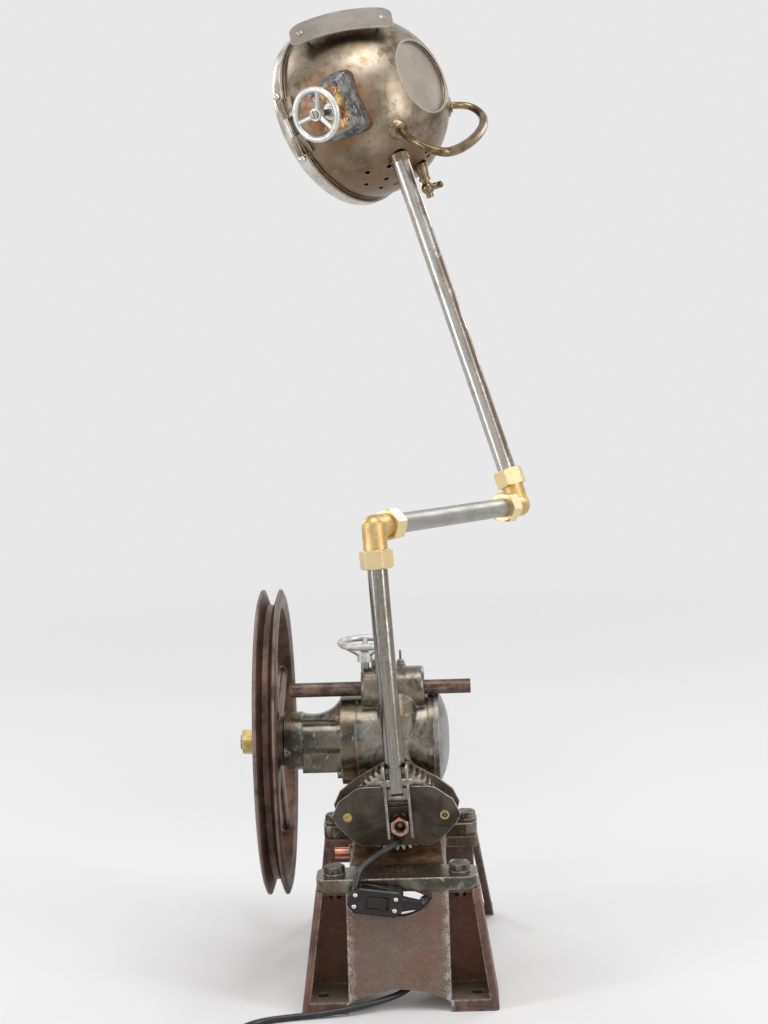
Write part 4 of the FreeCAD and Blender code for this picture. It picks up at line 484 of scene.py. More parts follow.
skin = stand.layers(
    skin,
    (stand.step(stand_lumps, 0.5, 0.75) * 0.4, (0.26, 0.21, 0.18)),
    (stand.step(stand_grain, 0.55, 0.68) * 0.5, (0.36, 0.31, 0.28)),
    (stand.step(stand_grain, 0.48, 0.34) * 0.6, (0.050, 0.032, 0.024)),
    (stand_pad * stand.range(stand_lumps, 0.5, 1.0), (0.235, 0.195, 0.150)),
    (panel_edge_painted_highlight * stand.step(stand_grain + 0.5 * stand_lumps, 0.70, 0.84) * 0.8, (0.52, 0.49, 0.47)),
    (stand_worn * stand.step(stand.cloud(0.007, 5.0, 0.7, shift=2.0), 0.35, 0.6) * 0.85, (0.46, 0.44, 0.43)))
stand.feed("Base Color", skin)
stand.feed("Metallic", stand.range(stand_proud, 0.25, 0.40))
stand.feed("Roughness", stand.range(stand_grain, 0.38, 0.66))
stand.feed("Normal", stand.bump(stand_grain * 0.6 + stand_lumps, 0.0011, stand_edge))
dress(stand, "stand_casting")

# Pump housing: one iron casting with a bolted flange, a waisted pedestal, a round body and a boss on top.
# Old green-grey paint polished back to dark metal, brown oil stains low down, chalky marks in the corners.

pump = Finish("pump_iron", {"Specular IOR Level": 0.5, "Coat Roughness": 0.16})
pump_edge = pump.rounded(0.0028)
pump_worn = pump.edge(pump_edge, 0.02, 0.14)
pump_grain = pump.cloud(0.0026, 5.0, 0.65)
pump_lumps = pump.cloud(0.014, 4.0, 0.55, shift=0.7)
pump_patches = pump.cloud(0.045, 5.0, 0.6, shift=2.1, swirl=0.5)
pump_marks = pump.cloud(0.016, 6.0, 0.7, shift=4.2, swirl=0.8)
pump_skin = pump.colours(pump.step(pump_patches, 0.38, 0.62), (0.046, 0.038, 0.028), (0.190, 0.165, 0.122))
pump_skin = pump.layers(
    pump_skin,
    (pump.step(pump_marks, 0.55, 0.68) * 0.8, (0.46, 0.47, 0.45)),
    (pump.step(pump_marks, 0.45, 0.33) * 0.75, (0.022, 0.017, 0.012)))
from_pump_middle = abs(pump.part(0))
pump_height = pump.part(2)
flange_height = 0.140
# The column is painted lighter in patches: partly polished metal, partly a painted sheen.
column_ends = pump.step(pump_height, 0.205, 0.230) * pump.step(pump_height, 0.350, 0.330)
column_polish_and_painted_sheen = pump.step(from_pump_middle, 0.044, 0.034) * column_ends
pump_skin = pump.colours(column_polish_and_painted_sheen * pump.step(pump_marks, 0.34, 0.58) * 0.7, pump_skin, (0.31, 0.275, 0.225))
pump_film = pump.step(pump.cloud(0.035, 4.0, 0.5, shift=6.3), 0.46, 0.60)
pump_skin = pump.colours(pump_film * 0.6, pump_skin, (0.175, 0.115, 0.055))
verdigris = pump.step(pump.cloud(0.022, 6.0, 0.7, shift=8.1, swirl=0.6), 0.56, 0.66)
pump_skin = pump.colours(verdigris * 0.55, pump_skin, (0.215, 0.270, 0.255))
above_flange = pump.step(pump_height, flange_height - 0.0005, flange_height + 0.0015)
low_down = pump.step(pump_height + 0.03 * pump_patches, 0.245, 0.200) * above_flange
oil_brown = pump.colours(pump.step(pump_marks, 0.36, 0.64), (0.070, 0.030, 0.011), (0.30, 0.150, 0.055))
pump_skin = pump.colours(low_down * pump.range(pump_patches, 0.6, 1.0), pump_skin, oil_brown)
at_flange = pump.step(pump_height, flange_height + 0.0012, flange_height + 0.0003)
flange_top = pump.step(pump.facing((0, 0, 1)), 0.95, 0.99) * at_flange
pump_skin = pump.layers(
    pump_skin,
    (flange_top * 0.75, pump.colours(pump.step(pump_marks, 0.40, 0.60), (0.17, 0.145, 0.105),
        (0.105, 0.058, 0.026))),
    (pump.step(pump_grain, 0.60, 0.74) * 0.35, (0.45, 0.46, 0.45)),
    (pump_worn * pump.step(pump_marks, 0.3, 0.6) * 0.8, (0.48, 0.47, 0.44)))
pump.feed("Base Color", pump_skin)
pump.feed("Metallic", pump.range(pump_patches, 0.7, 1.0) - 0.45 * low_down)
pump.feed("Roughness", pump.range(pump_marks, 0.12, 0.40) + 0.15 * low_down)
pump.feed("Coat Weight", pump.range(pump_lumps, 0.25, 0.7) * (1.0 - 0.7 * low_down))
pump.feed("Normal", pump.bump(pump_grain * 0.35 + pump_lumps, 0.0004, pump_edge))
dress(pump, "pump_housing", "bearing_housing", "boss_fitting", "shaft_bushes", "bearing_housing_screws")

# Foot bolts of the pump: square-shouldered hexagon bolts on plain washers, brown with old grease.

bolt = Finish("greasy_bolts")
bolt_edge = bolt.rounded(0.0012)
bolt_patches = bolt.cloud(0.008, 5.0, 0.65)
bolt_skin = bolt.colours(bolt.step(bolt_patches, 0.4, 0.62), (0.055, 0.040, 0.028), (0.20, 0.165, 0.13))
bolt.feed("Base Color", bolt.colours(bolt.edge(bolt_edge) * 0.8, bolt_skin, (0.46, 0.44, 0.41)))
bolt.feed("Metallic", bolt.range(bolt_patches, 0.6, 0.95))
bolt.feed("Roughness", bolt.range(bolt_patches, 0.45, 0.26))
bolt.feed("Normal", bolt.bump(bolt.cloud(0.002, 4.0), 0.0003, bolt_edge))
dress(bolt, "pump_bolts")

# Dome cover of the pump: a pressed and buffed iron cap, cooler and smoother than the casting it closes.

dome = Finish("dome_iron", {"Specular IOR Level": 0.5})
dome_edge = dome.rounded(0.0015)
dome_patches = dome.cloud(0.03, 5.0, 0.6, shift=1.1)
dome_skin = dome.colours(dome.step(dome_patches, 0.36, 0.64), (0.17, 0.158, 0.145), (0.33, 0.32, 0.31))
dome_skin = dome.colours(dome.step(dome.cloud(0.006, 6.0, 0.7), 0.62, 0.74) * 0.5, dome_skin, (0.12, 0.08, 0.055))
dome.feed("Base Color", dome.colours(dome.edge(dome_edge) * 0.7, dome_skin, (0.55, 0.54, 0.52)))
dome.feed("Metallic", 0.85)
dome.feed("Roughness", dome.range(dome_patches, 0.26, 0.42))
dome.feed("Normal", dome.bump(dome.cloud(0.004, 4.0), 0.0003, dome_edge))
dress(dome, "dome_cover")

# Belt pulley: a cast wheel with a deep V groove and five spokes, turned on its rim. Rusted red-brown all
# over and waxed, with rings left by the tool and grey metal at its edges.

pulley_y, pulley_z = 0.016, 0.254
wheel = Finish("pulley_iron", {"Specular IOR Level": 0.5})
pulley_edge = wheel.rounded(0.0022)
pulley_worn = wheel.edge(pulley_edge, 0.02, 0.15)
from_shaft = wheel.node("ShaderNodeVectorMath", {"operation": "SUBTRACT"},
    {0: wheel.place, 1: (0.0, pulley_y, pulley_z)})
from_shaft = wheel.node("ShaderNodeVectorMath", {"operation": "MULTIPLY"}, {0: from_shaft, 1: (0.0, 1.0, 1.0)})
from_shaft = wheel.node("ShaderNodeVectorMath", {"operation": "LENGTH"}, {0: from_shaft}, output="Value")
ring_place = wheel.node("ShaderNodeCombineXYZ", None,
    {0: from_shaft, 1: wheel.part(0), 2: wheel.cloud(0.08, 2.0) * 0.004})
pulley_rings = wheel.node("ShaderNodeTexNoise", None,
    {"Vector": ring_place, "Scale": 420.0, "Detail": 5.0, "Roughness": 0.7})
pulley_patches = wheel.cloud(0.025, 6.0, 0.65, shift=0.9, swirl=0.5)
pulley_grain = wheel.cloud(0.0024, 5.0, 0.7)
pulley_skin = wheel.colours(wheel.step(pulley_patches, 0.36, 0.62), (0.055, 0.030, 0.022), (0.165, 0.085, 0.055))
pulley_skin = wheel.layers(
    pulley_skin,
    (wheel.step(pulley_rings, 0.52, 0.70) * 0.6, (0.24, 0.19, 0.165)),
    (wheel.step(pulley_grain, 0.42, 0.30) * 0.5, (0.03, 0.02, 0.015)),
    (pulley_worn * wheel.step(pulley_patches, 0.3, 0.55) * 0.8, (0.40, 0.36, 0.34)))
wheel.feed("Base Color", pulley_skin)
wheel.feed("Metallic", wheel.range(pulley_patches, 0.35, 0.7))
wheel.feed("Roughness", wheel.range(pulley_rings, 0.28, 0.52))
wheel.feed("Normal", wheel.bump(pulley_rings * 0.5 + pulley_grain * 0.6, 0.0005, pulley_edge))
dress(wheel, "pulley")

# Pulley shaft, its key, washer and hexagon nut: turned brass-coloured nut on a plain steel end.

def worn_metal(name, rounding, tone_cloud, tone_range, dark, light, edge_share, bright, roughness, grain, depth,
               metallic=1.0):
    """A metal of two tones that is brighter along its edges."""
    metal = Finish(name)
    edge = metal.rounded(rounding)
    tone = metal.cloud(*tone_cloud)
    skin = metal.colours(metal.step(tone, *tone_range), dark, light)
    metal.feed("Base Color", metal.colours(metal.edge(edge) * edge_share, skin, bright))
    metal.feed("Metallic", metallic)
    metal.feed("Roughness", metal.range(tone, *roughness))
    metal.feed("Normal", metal.bump(metal.cloud(*grain), depth, edge))
    return metal


nut_brass = worn_metal("yellow_nut", 0.0009, (0.009, 5.0, 0.6), (0.4, 0.65), (0.42, 0.30, 0.11),
    (0.60, 0.47, 0.22),
                       0.7, (0.82, 0.72, 0.46), (0.42, 0.27), (0.0012, 4.0), 0.00012)
dress(nut_brass, "pulley_fasteners")

plain_steel = worn_metal("plain_steel", 0.0008, (0.012, 6.0, 0.65), (0.4, 0.66), (0.16, 0.145, 0.13),
                         (0.36, 0.34, 0.32), 0.7, (0.66, 0.65, 0.63), (0.24, 0.42), (0.001, 4.0), 0.0001)
dress(plain_steel, "pump_shaft", "gear_shaft", "pivot_pin", "pivot_washers", "oiler")

# Cross rod: a drawn bar through the boss on top of the pump, rusted an even reddish brown.

rod = Finish("rusted_rod")
rod_edge = rod.rounded(0.0008)
rod_streaks = rod.streaks((1, 0, 0), 9.0, 330.0, 5.0, 0.65)
rod_blotch = rod.cloud(0.012, 6.0, 0.7)
rod_skin = rod.colours(rod.step(rod_blotch, 0.38, 0.62), (0.085, 0.052, 0.040), (0.20, 0.135, 0.105))
rod_skin = rod.colours(rod.step(rod_streaks, 0.5, 0.7) * 0.6, rod_skin, (0.30, 0.235, 0.20))
rod.feed("Base Color", rod.colours(rod.edge(rod_edge) * 0.8, rod_skin, (0.48, 0.42, 0.38)))
rod.feed("Metallic", 0.65)
rod.feed("Roughness", rod.range(rod_blotch, 0.30, 0.52))
rod.feed("Normal", rod.bump(rod_streaks * 0.5 + rod_blotch, 0.00035, rod_edge))
dress(rod, "cross_rod")

# Handwheels: cast aluminium, buffed bright on the rims and left a little dull by the spokes.

aluminium = Finish("cast_aluminium")
aluminium_tone = aluminium.cloud(0.008, 5.0, 0.6)
aluminium.feed("Base Color", aluminium.colours(aluminium.step(aluminium_tone, 0.4, 0.7), (0.56, 0.56, 0.55),
    (0.76, 0.76, 0.75)))
aluminium.feed("Metallic", 1.0)
aluminium.feed("Roughness", aluminium.range(aluminium_tone, 0.34, 0.52))
aluminium.feed("Normal", aluminium.bump(aluminium.cloud(0.0025, 4.0), 0.0004, aluminium.rounded(0.001)))
dress(aluminium, "clamp_handwheel", "head_handwheel")
dress(plain_steel, "clamp_spindle", "head_spindle")

# Drain stub: a short end of bright copper pipe in a cast boss.

copper = Finish("bright_copper")
copper_tone = copper.cloud(0.006, 5.0, 0.65)
copper.feed("Base Color", copper.colours(copper.step(copper_tone, 0.45, 0.72), (0.86, 0.40, 0.26),
    (0.55, 0.22, 0.13)))
copper.feed("Metallic", 1.0)
copper.feed("Roughness", copper.range(copper_tone, 0.22, 0.38))
copper.feed("Normal", copper.bump(copper.cloud(0.0012, 3.0), 0.0001, copper.rounded(0.0008)))
dress(copper, "drain_stub")

# Gear case: two sheet steel plates on tie tubes with a spur gear between them. The front plate is rolled
# dark and bright only along its cut edges; the rear one is paler.

plate = Finish("case_plate")
case_edge = plate.rounded(0.0011)
case_edge_mask = plate.edge(case_edge, 0.005, 0.05)
case_streaks = plate.streaks((1, 0, 0.15), 5.0, 260.0, 6.0, 0.7)
case_clouds = plate.cloud(0.03, 5.0, 0.6, shift=0.5, swirl=0.6)
case_skin = plate.colours(plate.step(case_clouds, 0.34, 0.66), (0.048, 0.038, 0.029), (0.115, 0.096, 0.076))
case_skin = plate.layers(
    case_skin,
    (plate.step(case_streaks, 0.58, 0.76) * 0.4, (0.22, 0.20, 0.175)),
    (plate.step(plate.cloud(0.004, 6.0, 0.7, shift=1.0), 0.64, 0.74) * 0.6, (0.42, 0.38, 0.34)))
plate.feed("Base Color", plate.colours(case_edge_mask * 0.9, case_skin, (0.80, 0.77, 0.72)))
plate.feed("Metallic", 0.9)
plate.feed("Roughness", plate.range(case_clouds, 0.30, 0.46))
plate.feed("Normal", plate.bump(case_streaks, 0.00012, case_edge))
dress(plate, "front_plate")

# Between the plates turns a spur gear with cut teeth, paler than they are and dulled by old grease.

gear_steel = worn_metal("gear_steel", 0.0007, (0.008, 6.0, 0.65), (0.38, 0.64), (0.30, 0.255, 0.20),
                        (0.62, 0.57, 0.49), 0.7, (0.85, 0.82, 0.76), (0.26, 0.44), (0.001, 4.0), 0.0001,
                        metallic=0.9)
dress(gear_steel, "drive_gear")

# The rear plate is the brown one of the two, and shows only round the front plate's edge.

back_steel = Finish("back_plate")
back_edge = back_steel.rounded(0.0011)
back_clouds = back_steel.cloud(0.025, 5.0, 0.6, shift=2.4)
back_skin = back_steel.colours(back_steel.step(back_clouds, 0.36, 0.64), (0.085, 0.066, 0.048),
    (0.21, 0.175, 0.135))
back_steel.feed("Base Color", back_steel.colours(back_steel.edge(back_edge, 0.01, 0.10) * 0.9, back_skin,
    (0.62, 0.57, 0.50)))
back_steel.feed("Metallic", 0.85)
back_steel.feed("Roughness", back_steel.range(back_clouds, 0.32, 0.48))
back_steel.feed("Normal", back_steel.bump(back_steel.cloud(0.0015, 4.0), 0.0001, back_edge))
dress(back_steel, "gear_back_plate")
dress(nut_brass, "plate_ties")

# Clevis: bent steel strap whose cheeks hold the mast between them, pinned above a hollow copper nut.

strap_steel = Finish("strap_steel")
strap_edge = strap_steel.rounded(0.001)
strap_tone = strap_steel.cloud(0.012, 6.0, 0.7)
strap_skin = strap_steel.colours(strap_steel.step(strap_tone, 0.38, 0.64), (0.17, 0.15, 0.125),
    (0.34, 0.32, 0.29))
# Painted shade: behind the front of the cheeks the strap is painted near black, for the shade in the gap between
# them.
cheek_gap_painted_shade = strap_steel.step(strap_steel.part(1), -0.088, -0.080)
strap_skin = strap_steel.colours(cheek_gap_painted_shade * 0.85, strap_skin, (0.035, 0.030, 0.025))
strap_steel.feed("Base Color", strap_steel.colours(strap_steel.edge(strap_edge) * 0.9, strap_skin,
    (0.80, 0.78, 0.74)))
strap_steel.feed("Metallic", 0.95)
strap_steel.feed("Roughness", strap_steel.range(strap_tone, 0.28, 0.44))
strap_steel.feed("Normal", strap_steel.bump(strap_steel.cloud(0.0012, 4.0), 0.0001, strap_edge))
dress(strap_steel, "mast_clevis")

# The hollow nut is dark old copper, bright where its corners rub, like the four screws of the switch box.

old_copper = Finish("tarnished_copper")
tarnish_edge = old_copper.rounded(0.0009)
tarnish = old_copper.cloud(0.006, 6.0, 0.65)
tarnish_skin = old_copper.colours(old_copper.step(tarnish, 0.36, 0.62), (0.30, 0.13, 0.075), (0.60, 0.31, 0.20))
old_copper.feed("Base Color", old_copper.colours(old_copper.edge(tarnish_edge) * 0.8, tarnish_skin,
    (0.86, 0.60, 0.45)))
old_copper.feed("Metallic", 1.0)
old_copper.feed("Roughness", old_copper.range(tarnish, 0.36, 0.24))
old_copper.feed("Normal", old_copper.bump(tarnish, 0.0002, tarnish_edge))
dress(old_copper, "hollow_lock_nut", "box_screws")

# Inside the hollow nut sits the flared end of a steel pipe, bright on its cone and dark in its bore.

nut_low, nut_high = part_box("hollow_lock_nut")
nut_middle_x, nut_middle_z = (nut_low[0] + nut_high[0]) / 2, (nut_low[2] + nut_high[2]) / 2
flare_profile = [(0.0076, 0.0), (0.0066, -0.0004), (0.0030, 0.0052), (0.0030, 0.0090), (0.0042, 0.0090),
    (0.0068, 0.0040)]
add_piece("nut_flare", turned_shape(flare_profile, (nut_middle_x, nut_low[1] + 0.0012, nut_middle_z), (0, 1, 0),
    40),
          plain_steel, "base")

# A soft rubber bush in the front plate keeps the lead off the metal.

grommet = Finish("rubber_grommet", {"Metallic": 0.0})
grommet_tone = grommet.cloud(0.004, 4.0)
grommet.feed("Base Color", grommet.colours(grommet_tone, (0.012, 0.012, 0.012), (0.035, 0.034, 0.033)))
grommet.feed("Roughness", grommet.range(grommet_tone, 0.45, 0.65))
grommet.feed("Normal", grommet.bump(grommet.cloud(0.001, 3.0), 0.0001))
dress(grommet, "cord_bush")

# Pipes: three lengths of bare steel tube, wiped along their length, with dark drawn streaks and a little
# rust towards the ends. The finish runs along each one's own axis.

def pipe_finish(name, axis, bright, dark, rust, grime_and_shade, smooth, dull):
    """The finish of one pipe, drawn along its axis: how much rust, how much brown dirt and painted shade on its
    right-facing side, and its least and most roughness.
    """
    pipe = Finish(name)
    streaks = pipe.streaks(axis, 30.0, 560.0, 4.0, 0.5)
    stains = pipe.streaks(axis, 3.0, 70.0, 5.0, 0.6, 0.4)
    pits = pipe.cloud(0.005, 6.0, 0.75, shift=0.6)
    skin_tone = pipe.colours(pipe.step(streaks, 0.30, 0.70),
        pipe.colours(pipe.step(pits, 0.2, 0.8), bright, dark), bright)
    skin_tone = pipe.colours(pipe.step(stains, 0.50, 0.70) * 0.7, skin_tone, dark)
    skin_tone = pipe.colours(pipe.step(pits, 0.60, 0.70) * pipe.step(stains, 0.45, 0.6) * rust, skin_tone,
        (0.20, 0.10, 0.055))
    # Brown streaks on the side that faces right and a little forward: partly dirt, partly painted shade that
    # darkens that side.
    grime_and_painted_shade = pipe.step(pipe.facing((0.75, -0.6, 0.1)), 0.62, 0.92) * pipe.step(stains + 0.3 * pits, 0.50, 0.68)
    skin_tone = pipe.colours(grime_and_painted_shade * grime_and_shade, skin_tone, (0.17, 0.125, 0.09))
    pipe.feed("Base Color", skin_tone)
    pipe.feed("Metallic", 1.0)
    pipe.feed("Roughness", pipe.range(stains, smooth, dull))
    pipe.feed("Normal", pipe.bump(streaks * 0.3 + pits * 0.7, 0.00012, pipe.rounded(0.0008)))
    return pipe


mast_axis = (-0.05648, 0.11615, 0.99162)
arm_axis = (0.46840, 0.88021, -0.07642)
upper_axis = (-0.29297, 0.23634, 0.92645)
dress(pipe_finish("mast_steel", mast_axis, (0.33, 0.315, 0.28), (0.13, 0.12, 0.10), 0.3, 0.5, 0.16, 0.28),
    "mast_tube", "mast_foot")
dress(pipe_finish("arm_steel", arm_axis, (0.42, 0.41, 0.39), (0.30, 0.29, 0.27), 0.25, 0.2, 0.36, 0.50),
    "middle_tube")
dress(pipe_finish("upper_steel", upper_axis, (0.53, 0.51, 0.48), (0.25, 0.22, 0.185), 0.9, 0.9, 0.20, 0.34),
    "upper_tube")

# Compression elbows: forged brass bodies, sand-cast in look, with smoother machined nuts on both legs.

forged_brass = worn_metal("forged_brass", 0.0009, (0.012, 5.0, 0.6), (0.38, 0.66), (0.55, 0.37, 0.15),
                          (0.72, 0.53, 0.26), 0.6, (0.90, 0.76, 0.48), (0.30, 0.44), (0.0011, 4.0, 0.7), 0.00025)
dress(forged_brass, "lower_elbow", "upper_elbow")

# The nuts of the elbows are turned from bar, so they are smoother and yellower than the forgings.

machined_brass = Finish("machined_brass")
machined_edge = machined_brass.rounded(0.0010)
machined_tone = machined_brass.cloud(0.02, 4.0, 0.5)
machined_skin = machined_brass.colours(machined_tone, (0.74, 0.56, 0.27), (0.86, 0.70, 0.42))
machined_brass.feed("Base Color", machined_brass.colours(machined_brass.edge(machined_edge) * 0.6, machined_skin,
    (0.95, 0.86, 0.62)))
machined_brass.feed("Metallic", 1.0)
machined_brass.feed("Roughness", machined_brass.range(machined_tone, 0.26, 0.38))
machined_brass.feed("Normal", machined_brass.bump(machined_brass.cloud(0.0008, 3.0), 0.00008, machined_edge))
dress(machined_brass, "lower_elbow_nuts", "upper_elbow_nuts")

# Lamp head: an old nickelled brass globe, spun in one piece, with a folded lip and a flat rear disc. The
# nickel has worn to warm brass, with brown and orange stains round everything that was soldered to it.

joints = {joint["name"]: joint for joint in frame["joints"]}
head_up = Vector(joints["bezel_hinge"]["axis"]).normalized()
head_side = Vector(joints["head_wheel_turn"]["axis"]).normalized()
if head_side.x > 0:
    head_side = -head_side
if head_up.z < 0:
    head_up = -head_up
head_mouth = head_side.cross(head_up).normalized()
head_middle = Vector((-0.0306, 0.4374, 0.9571))


def on_head(x, y, z):
    """A place in metres measured on the head: to its side, up, and out of its mouth."""
    return head_middle + head_side * x + head_up * y + head_mouth * z


shell = Finish("worn_nickel_shell")
shell_edge = shell.rounded(0.0012)
shell_clouds = shell.cloud(0.055, 5.0, 0.55, shift=0.3, swirl=0.2)
shell_blots = shell.cloud(0.024, 7.0, 0.7, shift=1.9, swirl=0.1)
shell_specks = shell.cloud(0.0045, 6.0, 0.75, shift=2.7)
box_foot = on_head(0.104, -0.002, -0.034)
from_box = shell.distance(box_foot)
heat = shell.step(from_box + 0.03 * shell_blots, 0.074, 0.050)
# Darker brown towards the underside of the globe.
under = shell.step(shell.towards(head_up, head_middle) + 0.03 * shell_clouds, -0.02, -0.085)
shell_skin = shell.colours(shell.step(shell_clouds, 0.34, 0.66), (0.190, 0.145, 0.098), (0.38, 0.325, 0.255))
shell_skin = shell.layers(
    shell_skin,
    (shell.step(shell_blots, 0.50, 0.62) * 0.85, (0.145, 0.108, 0.060)),
    (shell.step(shell_blots, 0.46, 0.32) * 0.8, (0.285, 0.150, 0.070)),
    (under * 0.65, (0.185, 0.110, 0.068)))
back_disc = shell.step(shell.facing(-head_mouth), 0.93,
    0.98) * shell.step(shell.towards(head_mouth, head_middle), -0.060, -0.075)
disc_grey = shell.colours(shell.step(shell_clouds, 0.30, 0.70), (0.235, 0.198, 0.165), (0.33, 0.285, 0.24))
disc_grey = shell.colours(shell.step(shell.towards(-head_side, head_middle) + 0.03 * shell_clouds, 0.045, 0.075)
    * 0.7, disc_grey, (0.30, 0.135, 0.075))
shell_skin = shell.colours(back_disc, shell_skin, disc_grey)
collar_foot = on_head(0.028, -0.093, -0.055)
from_collar = shell.distance(collar_foot)
shell_skin = shell.layers(
    shell_skin,
    (shell.step(from_collar + 0.012 * shell_blots, 0.034, 0.024) * 0.8, (0.17, 0.095, 0.050)),
    (heat * shell.step(shell_blots, 0.30, 0.62) * 0.8, (0.255, 0.105, 0.042)),
    (shell.step(shell_specks, 0.63, 0.70) * 0.8, (0.10, 0.06, 0.035)),
    (shell.edge(shell_edge) * 0.5, (0.72, 0.68, 0.60)))
shell.feed("Base Color", shell_skin)
shell.feed("Metallic", 1.0)
shell.feed("Roughness", shell.range(shell_clouds, 0.24, 0.42) + 0.22 * heat + 0.12 * back_disc)
shell.feed("Normal", shell.bump(shell_blots + shell_specks * 0.2, 0.00035, shell_edge))
dress(shell, "globe_shell", "tube_collar", "hinge_shell_leaf")

# Bezel: a spun ring with a rolled front edge, hinged to the lip of the globe, brighter than the globe.

bezel = Finish("bezel_nickel")
bezel_edge = bezel.rounded(0.0012)
bezel_clouds = bezel.cloud(0.03, 5.0, 0.6, shift=0.8, swirl=0.6)
bezel_skin = bezel.colours(bezel.step(bezel_clouds, 0.34, 0.64), (0.42, 0.37, 0.32), (0.66, 0.63, 0.58))
bezel_skin = bezel.colours(bezel.step(bezel.cloud(0.007, 6.0, 0.7), 0.60, 0.72) * 0.6, bezel_skin,
    (0.24, 0.16, 0.10))
bezel.feed("Base Color", bezel.colours(bezel.edge(bezel_edge) * 0.5, bezel_skin, (0.80, 0.77, 0.72)))
bezel.feed("Metallic", 1.0)
bezel.feed("Roughness", bezel.range(bezel_clouds, 0.20, 0.36))
bezel.feed("Normal", bezel.bump(bezel_clouds, 0.0003, bezel_edge))
dress(bezel, "bezel_ring", "hinge_bezel_leaf", "hinge_pin", "lens_clip_ring")

# Top strip: a soldered strap with a rivet at each end, of the globe's own dulled nickel.

strip_nickel = worn_metal("dull_strip", 0.0012, (0.04, 4.0, 0.5, 2.2), (0.34, 0.66), (0.36, 0.315, 0.265),
                          (0.48, 0.435, 0.38), 0.5, (0.70, 0.66, 0.60), (0.30, 0.42), (0.003, 4.0), 0.00015)
dress(strip_nickel, "top_strip", "strip_rivets")

# Reflector: a spun aluminium bowl behind the bulb, which closes the view in through the vent holes.

reflector = Finish("reflector_aluminium")
reflector_tone = reflector.cloud(0.02, 4.0)
reflector.feed("Base Color", reflector.colours(reflector_tone, (0.30, 0.29, 0.28), (0.42, 0.41, 0.40)))
reflector.feed("Metallic", 1.0)
reflector.feed("Roughness", reflector.range(reflector_tone, 0.30, 0.45))
reflector_rows = [(0.0245, -0.046), (0.045, -0.042), (0.066, -0.030), (0.083, -0.011), (0.096, 0.020)]
reflector_wall = 0.0008
reflector_profile = reflector_rows + [(radius, height + reflector_wall) for radius,
    height in reversed(reflector_rows)]
add_piece("reflector_bowl", turned_shape(reflector_profile, head_middle, head_mouth, 64), reflector, "head")

# Lens and lamp: a clear front glass behind a spring ring, and an opal bulb in a glazed holder.

lens_glass = Finish("lens_glass", {"Transmission Weight": 1.0, "IOR": 1.47, "Metallic": 0.0})
lens_smears = lens_glass.cloud(0.03, 5.0)
lens_glass.feed("Base Color", lens_glass.colours(lens_smears, (0.93, 0.95, 0.94), (0.98, 0.99, 0.98)))
lens_glass.feed("Roughness", lens_glass.range(lens_smears, 0.02, 0.07))
dress(lens_glass, "lens_glass")
opal = Finish("opal_bulb", {"Subsurface Weight": 0.2, "Metallic": 0.0})
opal_tone = opal.cloud(0.02, 3.0)
opal.feed("Base Color", opal.colours(opal_tone, (0.86, 0.85, 0.82), (0.92, 0.91, 0.88)))
opal.feed("Roughness", opal.range(opal_tone, 0.18, 0.30))
dress(opal, "bulb")
glaze = Finish("glazed_holder", {"Coat Roughness": 0.08, "Metallic": 0.0})
glaze_tone = glaze.cloud(0.008, 4.0)
glaze.feed("Base Color", glaze.colours(glaze_tone, (0.78, 0.76, 0.70), (0.86, 0.84, 0.79)))
glaze.feed("Roughness", glaze.range(glaze_tone, 0.15, 0.30))
dress(glaze, "lamp_holder")

# Switch box on the side of the globe: a cast zinc block with wide bevels, rust creeping from the joint, and
# a sunk face stained yellow, held by four copper-coloured screws.

zinc = Finish("zinc_box", {"Specular IOR Level": 0.5})
zinc_edge = zinc.rounded(0.0016)
zinc_grain = zinc.cloud(0.0035, 6.0, 0.75)
zinc_patches = zinc.cloud(0.010, 6.0, 0.7, shift=0.7)
box_height = zinc.towards(head_side, head_middle)
zinc_skin = zinc.colours(zinc.step(zinc_patches, 0.36, 0.62), (0.060, 0.058, 0.054), (0.24, 0.235, 0.23))
zinc_skin = zinc.layers(
    zinc_skin,
    (zinc.step(zinc_grain, 0.60, 0.66) * 0.85, (0.74, 0.74, 0.74)),
    (zinc.step(zinc_grain, 0.42, 0.30) * 0.6, (0.09, 0.085, 0.08)))
across_box = zinc.towards(head_up, on_head(0.0, -0.002, -0.034))
along_box = zinc.towards(head_mouth, on_head(0.0, -0.002, -0.034))
off_centre = zinc.node("ShaderNodeCombineXYZ", None, {0: across_box, 1: along_box})
off_centre = zinc.node("ShaderNodeVectorMath", {"operation": "LENGTH"}, {0: off_centre}, output="Value")
sunk_face = zinc.step(zinc.facing(head_side), 0.8, 0.95) * zinc.step(off_centre + 0.01 * zinc_patches, 0.037,
    0.030)
stain = zinc.colours(zinc.step(zinc_patches, 0.42, 0.60), (0.30, 0.13, 0.045), (0.62, 0.47, 0.17))
zinc_skin = zinc.layers(
    zinc_skin,
    (sunk_face * zinc.step(zinc_patches + 0.3 * zinc_grain, 0.5, 0.62), stain),
    (zinc.step(box_height + 0.010 * zinc_patches, 0.103, 0.095) * 0.9, (0.20, 0.085, 0.045)),
    (zinc.edge(zinc_edge) * zinc.step(zinc_grain, 0.35, 0.55) * 0.6, (0.78, 0.78, 0.78)))
zinc.feed("Base Color", zinc_skin)
zinc.feed("Metallic", zinc.range(zinc_patches, 0.6, 0.95))
zinc.feed("Roughness", zinc.range(zinc_grain, 0.28, 0.50))
zinc.feed("Normal", zinc.bump(zinc_grain * 0.5 + zinc_patches, 0.0006, zinc_edge))
dress(zinc, "switch_box")
dress(aluminium, "spindle_gland")

# Handle bow and drain tap at the back of the globe: greenish old brass, brighter where hands rub it.

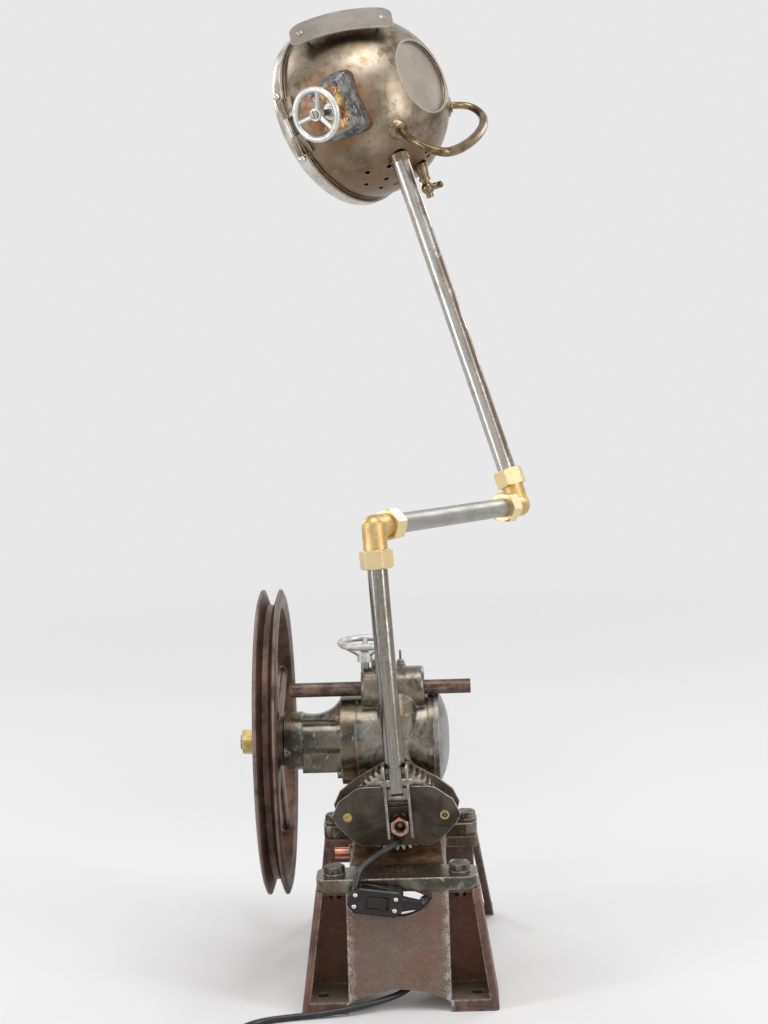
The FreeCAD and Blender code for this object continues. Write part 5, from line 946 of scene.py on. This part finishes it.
handle = Finish("handle_brass")
handle_edge = handle.rounded(0.0010)
handle_tone = handle.cloud(0.016, 6.0, 0.65)
handle_skin = handle.colours(handle.step(handle_tone, 0.36, 0.62), (0.125, 0.082, 0.046), (0.285, 0.215, 0.125))
handle_skin = handle.colours(handle.step(handle.cloud(0.006, 6.0, 0.7, shift=1.2), 0.58, 0.70) * 0.6,
    handle_skin, (0.20, 0.17, 0.07))
handle.feed("Base Color", handle.colours(handle.edge(handle_edge) * 0.6, handle_skin, (0.74, 0.66, 0.48)))
handle.feed("Metallic", 1.0)
handle.feed("Roughness", handle.range(handle_tone, 0.34, 0.20))
handle.feed("Normal", handle.bump(handle_tone, 0.0003, handle_edge))
dress(handle, "tap_body")

bow_route = [(0.0530, -0.0470, -0.0730), (0.0590, -0.0545, -0.0815), (0.0660, -0.0655, -0.0910),
    (0.0700, -0.0790, -0.1040),
             (0.0690, -0.0950, -0.1190), (0.0540, -0.1060, -0.1320), (0.0110, -0.1010, -0.1365),
             (-0.0320, -0.0890, -0.1330),
             (-0.0620, -0.0750, -0.1250), (-0.0760, -0.0600, -0.1130), (-0.0760, -0.0480, -0.1010),
             (-0.0600, -0.0420, -0.0910),
             (-0.0530, -0.0390, -0.0830)]
bow_girths = [0.85, 0.9, 0.9, 0.95, 1.1, 1.25, 1.3, 1.25, 1.15, 1.0, 0.95, 0.9, 0.85]
bow_radius = 0.0048
bow_curve = bpy.data.curves.new("handle_bow", "CURVE")
bow_curve.dimensions = "3D"
bow_curve.bevel_depth = bow_radius
bow_curve.bevel_resolution = 6
bow_curve.resolution_u = 12
bow_curve.use_fill_caps = True
bow_line = bow_curve.splines.new("NURBS")
bow_line.points.add(len(bow_route) - 1)
for point, place, girth in zip(bow_line.points, bow_route, bow_girths):
    point.co = (*on_head(*place), 1.0)
    point.radius = girth
bow_line.order_u = 3
bow_line.use_endpoint_u = True
bow_curve.materials.append(handle.material)
bow = bpy.data.objects.new("handle_bow", bow_curve)
scene.collection.objects.link(bow)
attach(bow, "head")
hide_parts("bow_handle")

# Each end of the bow sits in an oval flange that is brazed to the globe.

shell_radius = 0.1130
flange_profile = [(0.0, -0.004), (0.0125, -0.004), (0.0125, -0.0005), (0.0112, 0.0012), (0.0072, 0.0022),
    (0.0066, 0.0040), (0.0, 0.0040)]
for number, end in enumerate(((0.0600, -0.0535, -0.0800), (-0.0590, -0.0425, -0.0865))):
    outward = Vector(end).normalized()
    seat = outward * shell_radius
    way = head_side * outward.x + head_up * outward.y + head_mouth * outward.z
    flange = turned_shape(flange_profile, on_head(*seat), way, 40)
    add_piece(f"handle_flange_{number}", flange, handle, "head")

# The tap's T handle is a small bronze casting, darker than its body.

dark_bronze = Finish("dark_bronze")
bronze_tone = dark_bronze.cloud(0.006, 5.0, 0.6)
bronze_edge = dark_bronze.rounded(0.0006)
bronze_skin = dark_bronze.colours(bronze_tone, (0.095, 0.062, 0.035), (0.22, 0.155, 0.085))
dark_bronze.feed("Base Color", dark_bronze.colours(dark_bronze.edge(bronze_edge) * 0.6, bronze_skin,
    (0.50, 0.40, 0.26)))
dark_bronze.feed("Metallic", 1.0)
dark_bronze.feed("Roughness", dark_bronze.range(bronze_tone, 0.26, 0.42))
dark_bronze.feed("Normal", dark_bronze.bump(dark_bronze.cloud(0.001, 3.0), 0.0001, bronze_edge))
dress(dark_bronze, "tap_handle")
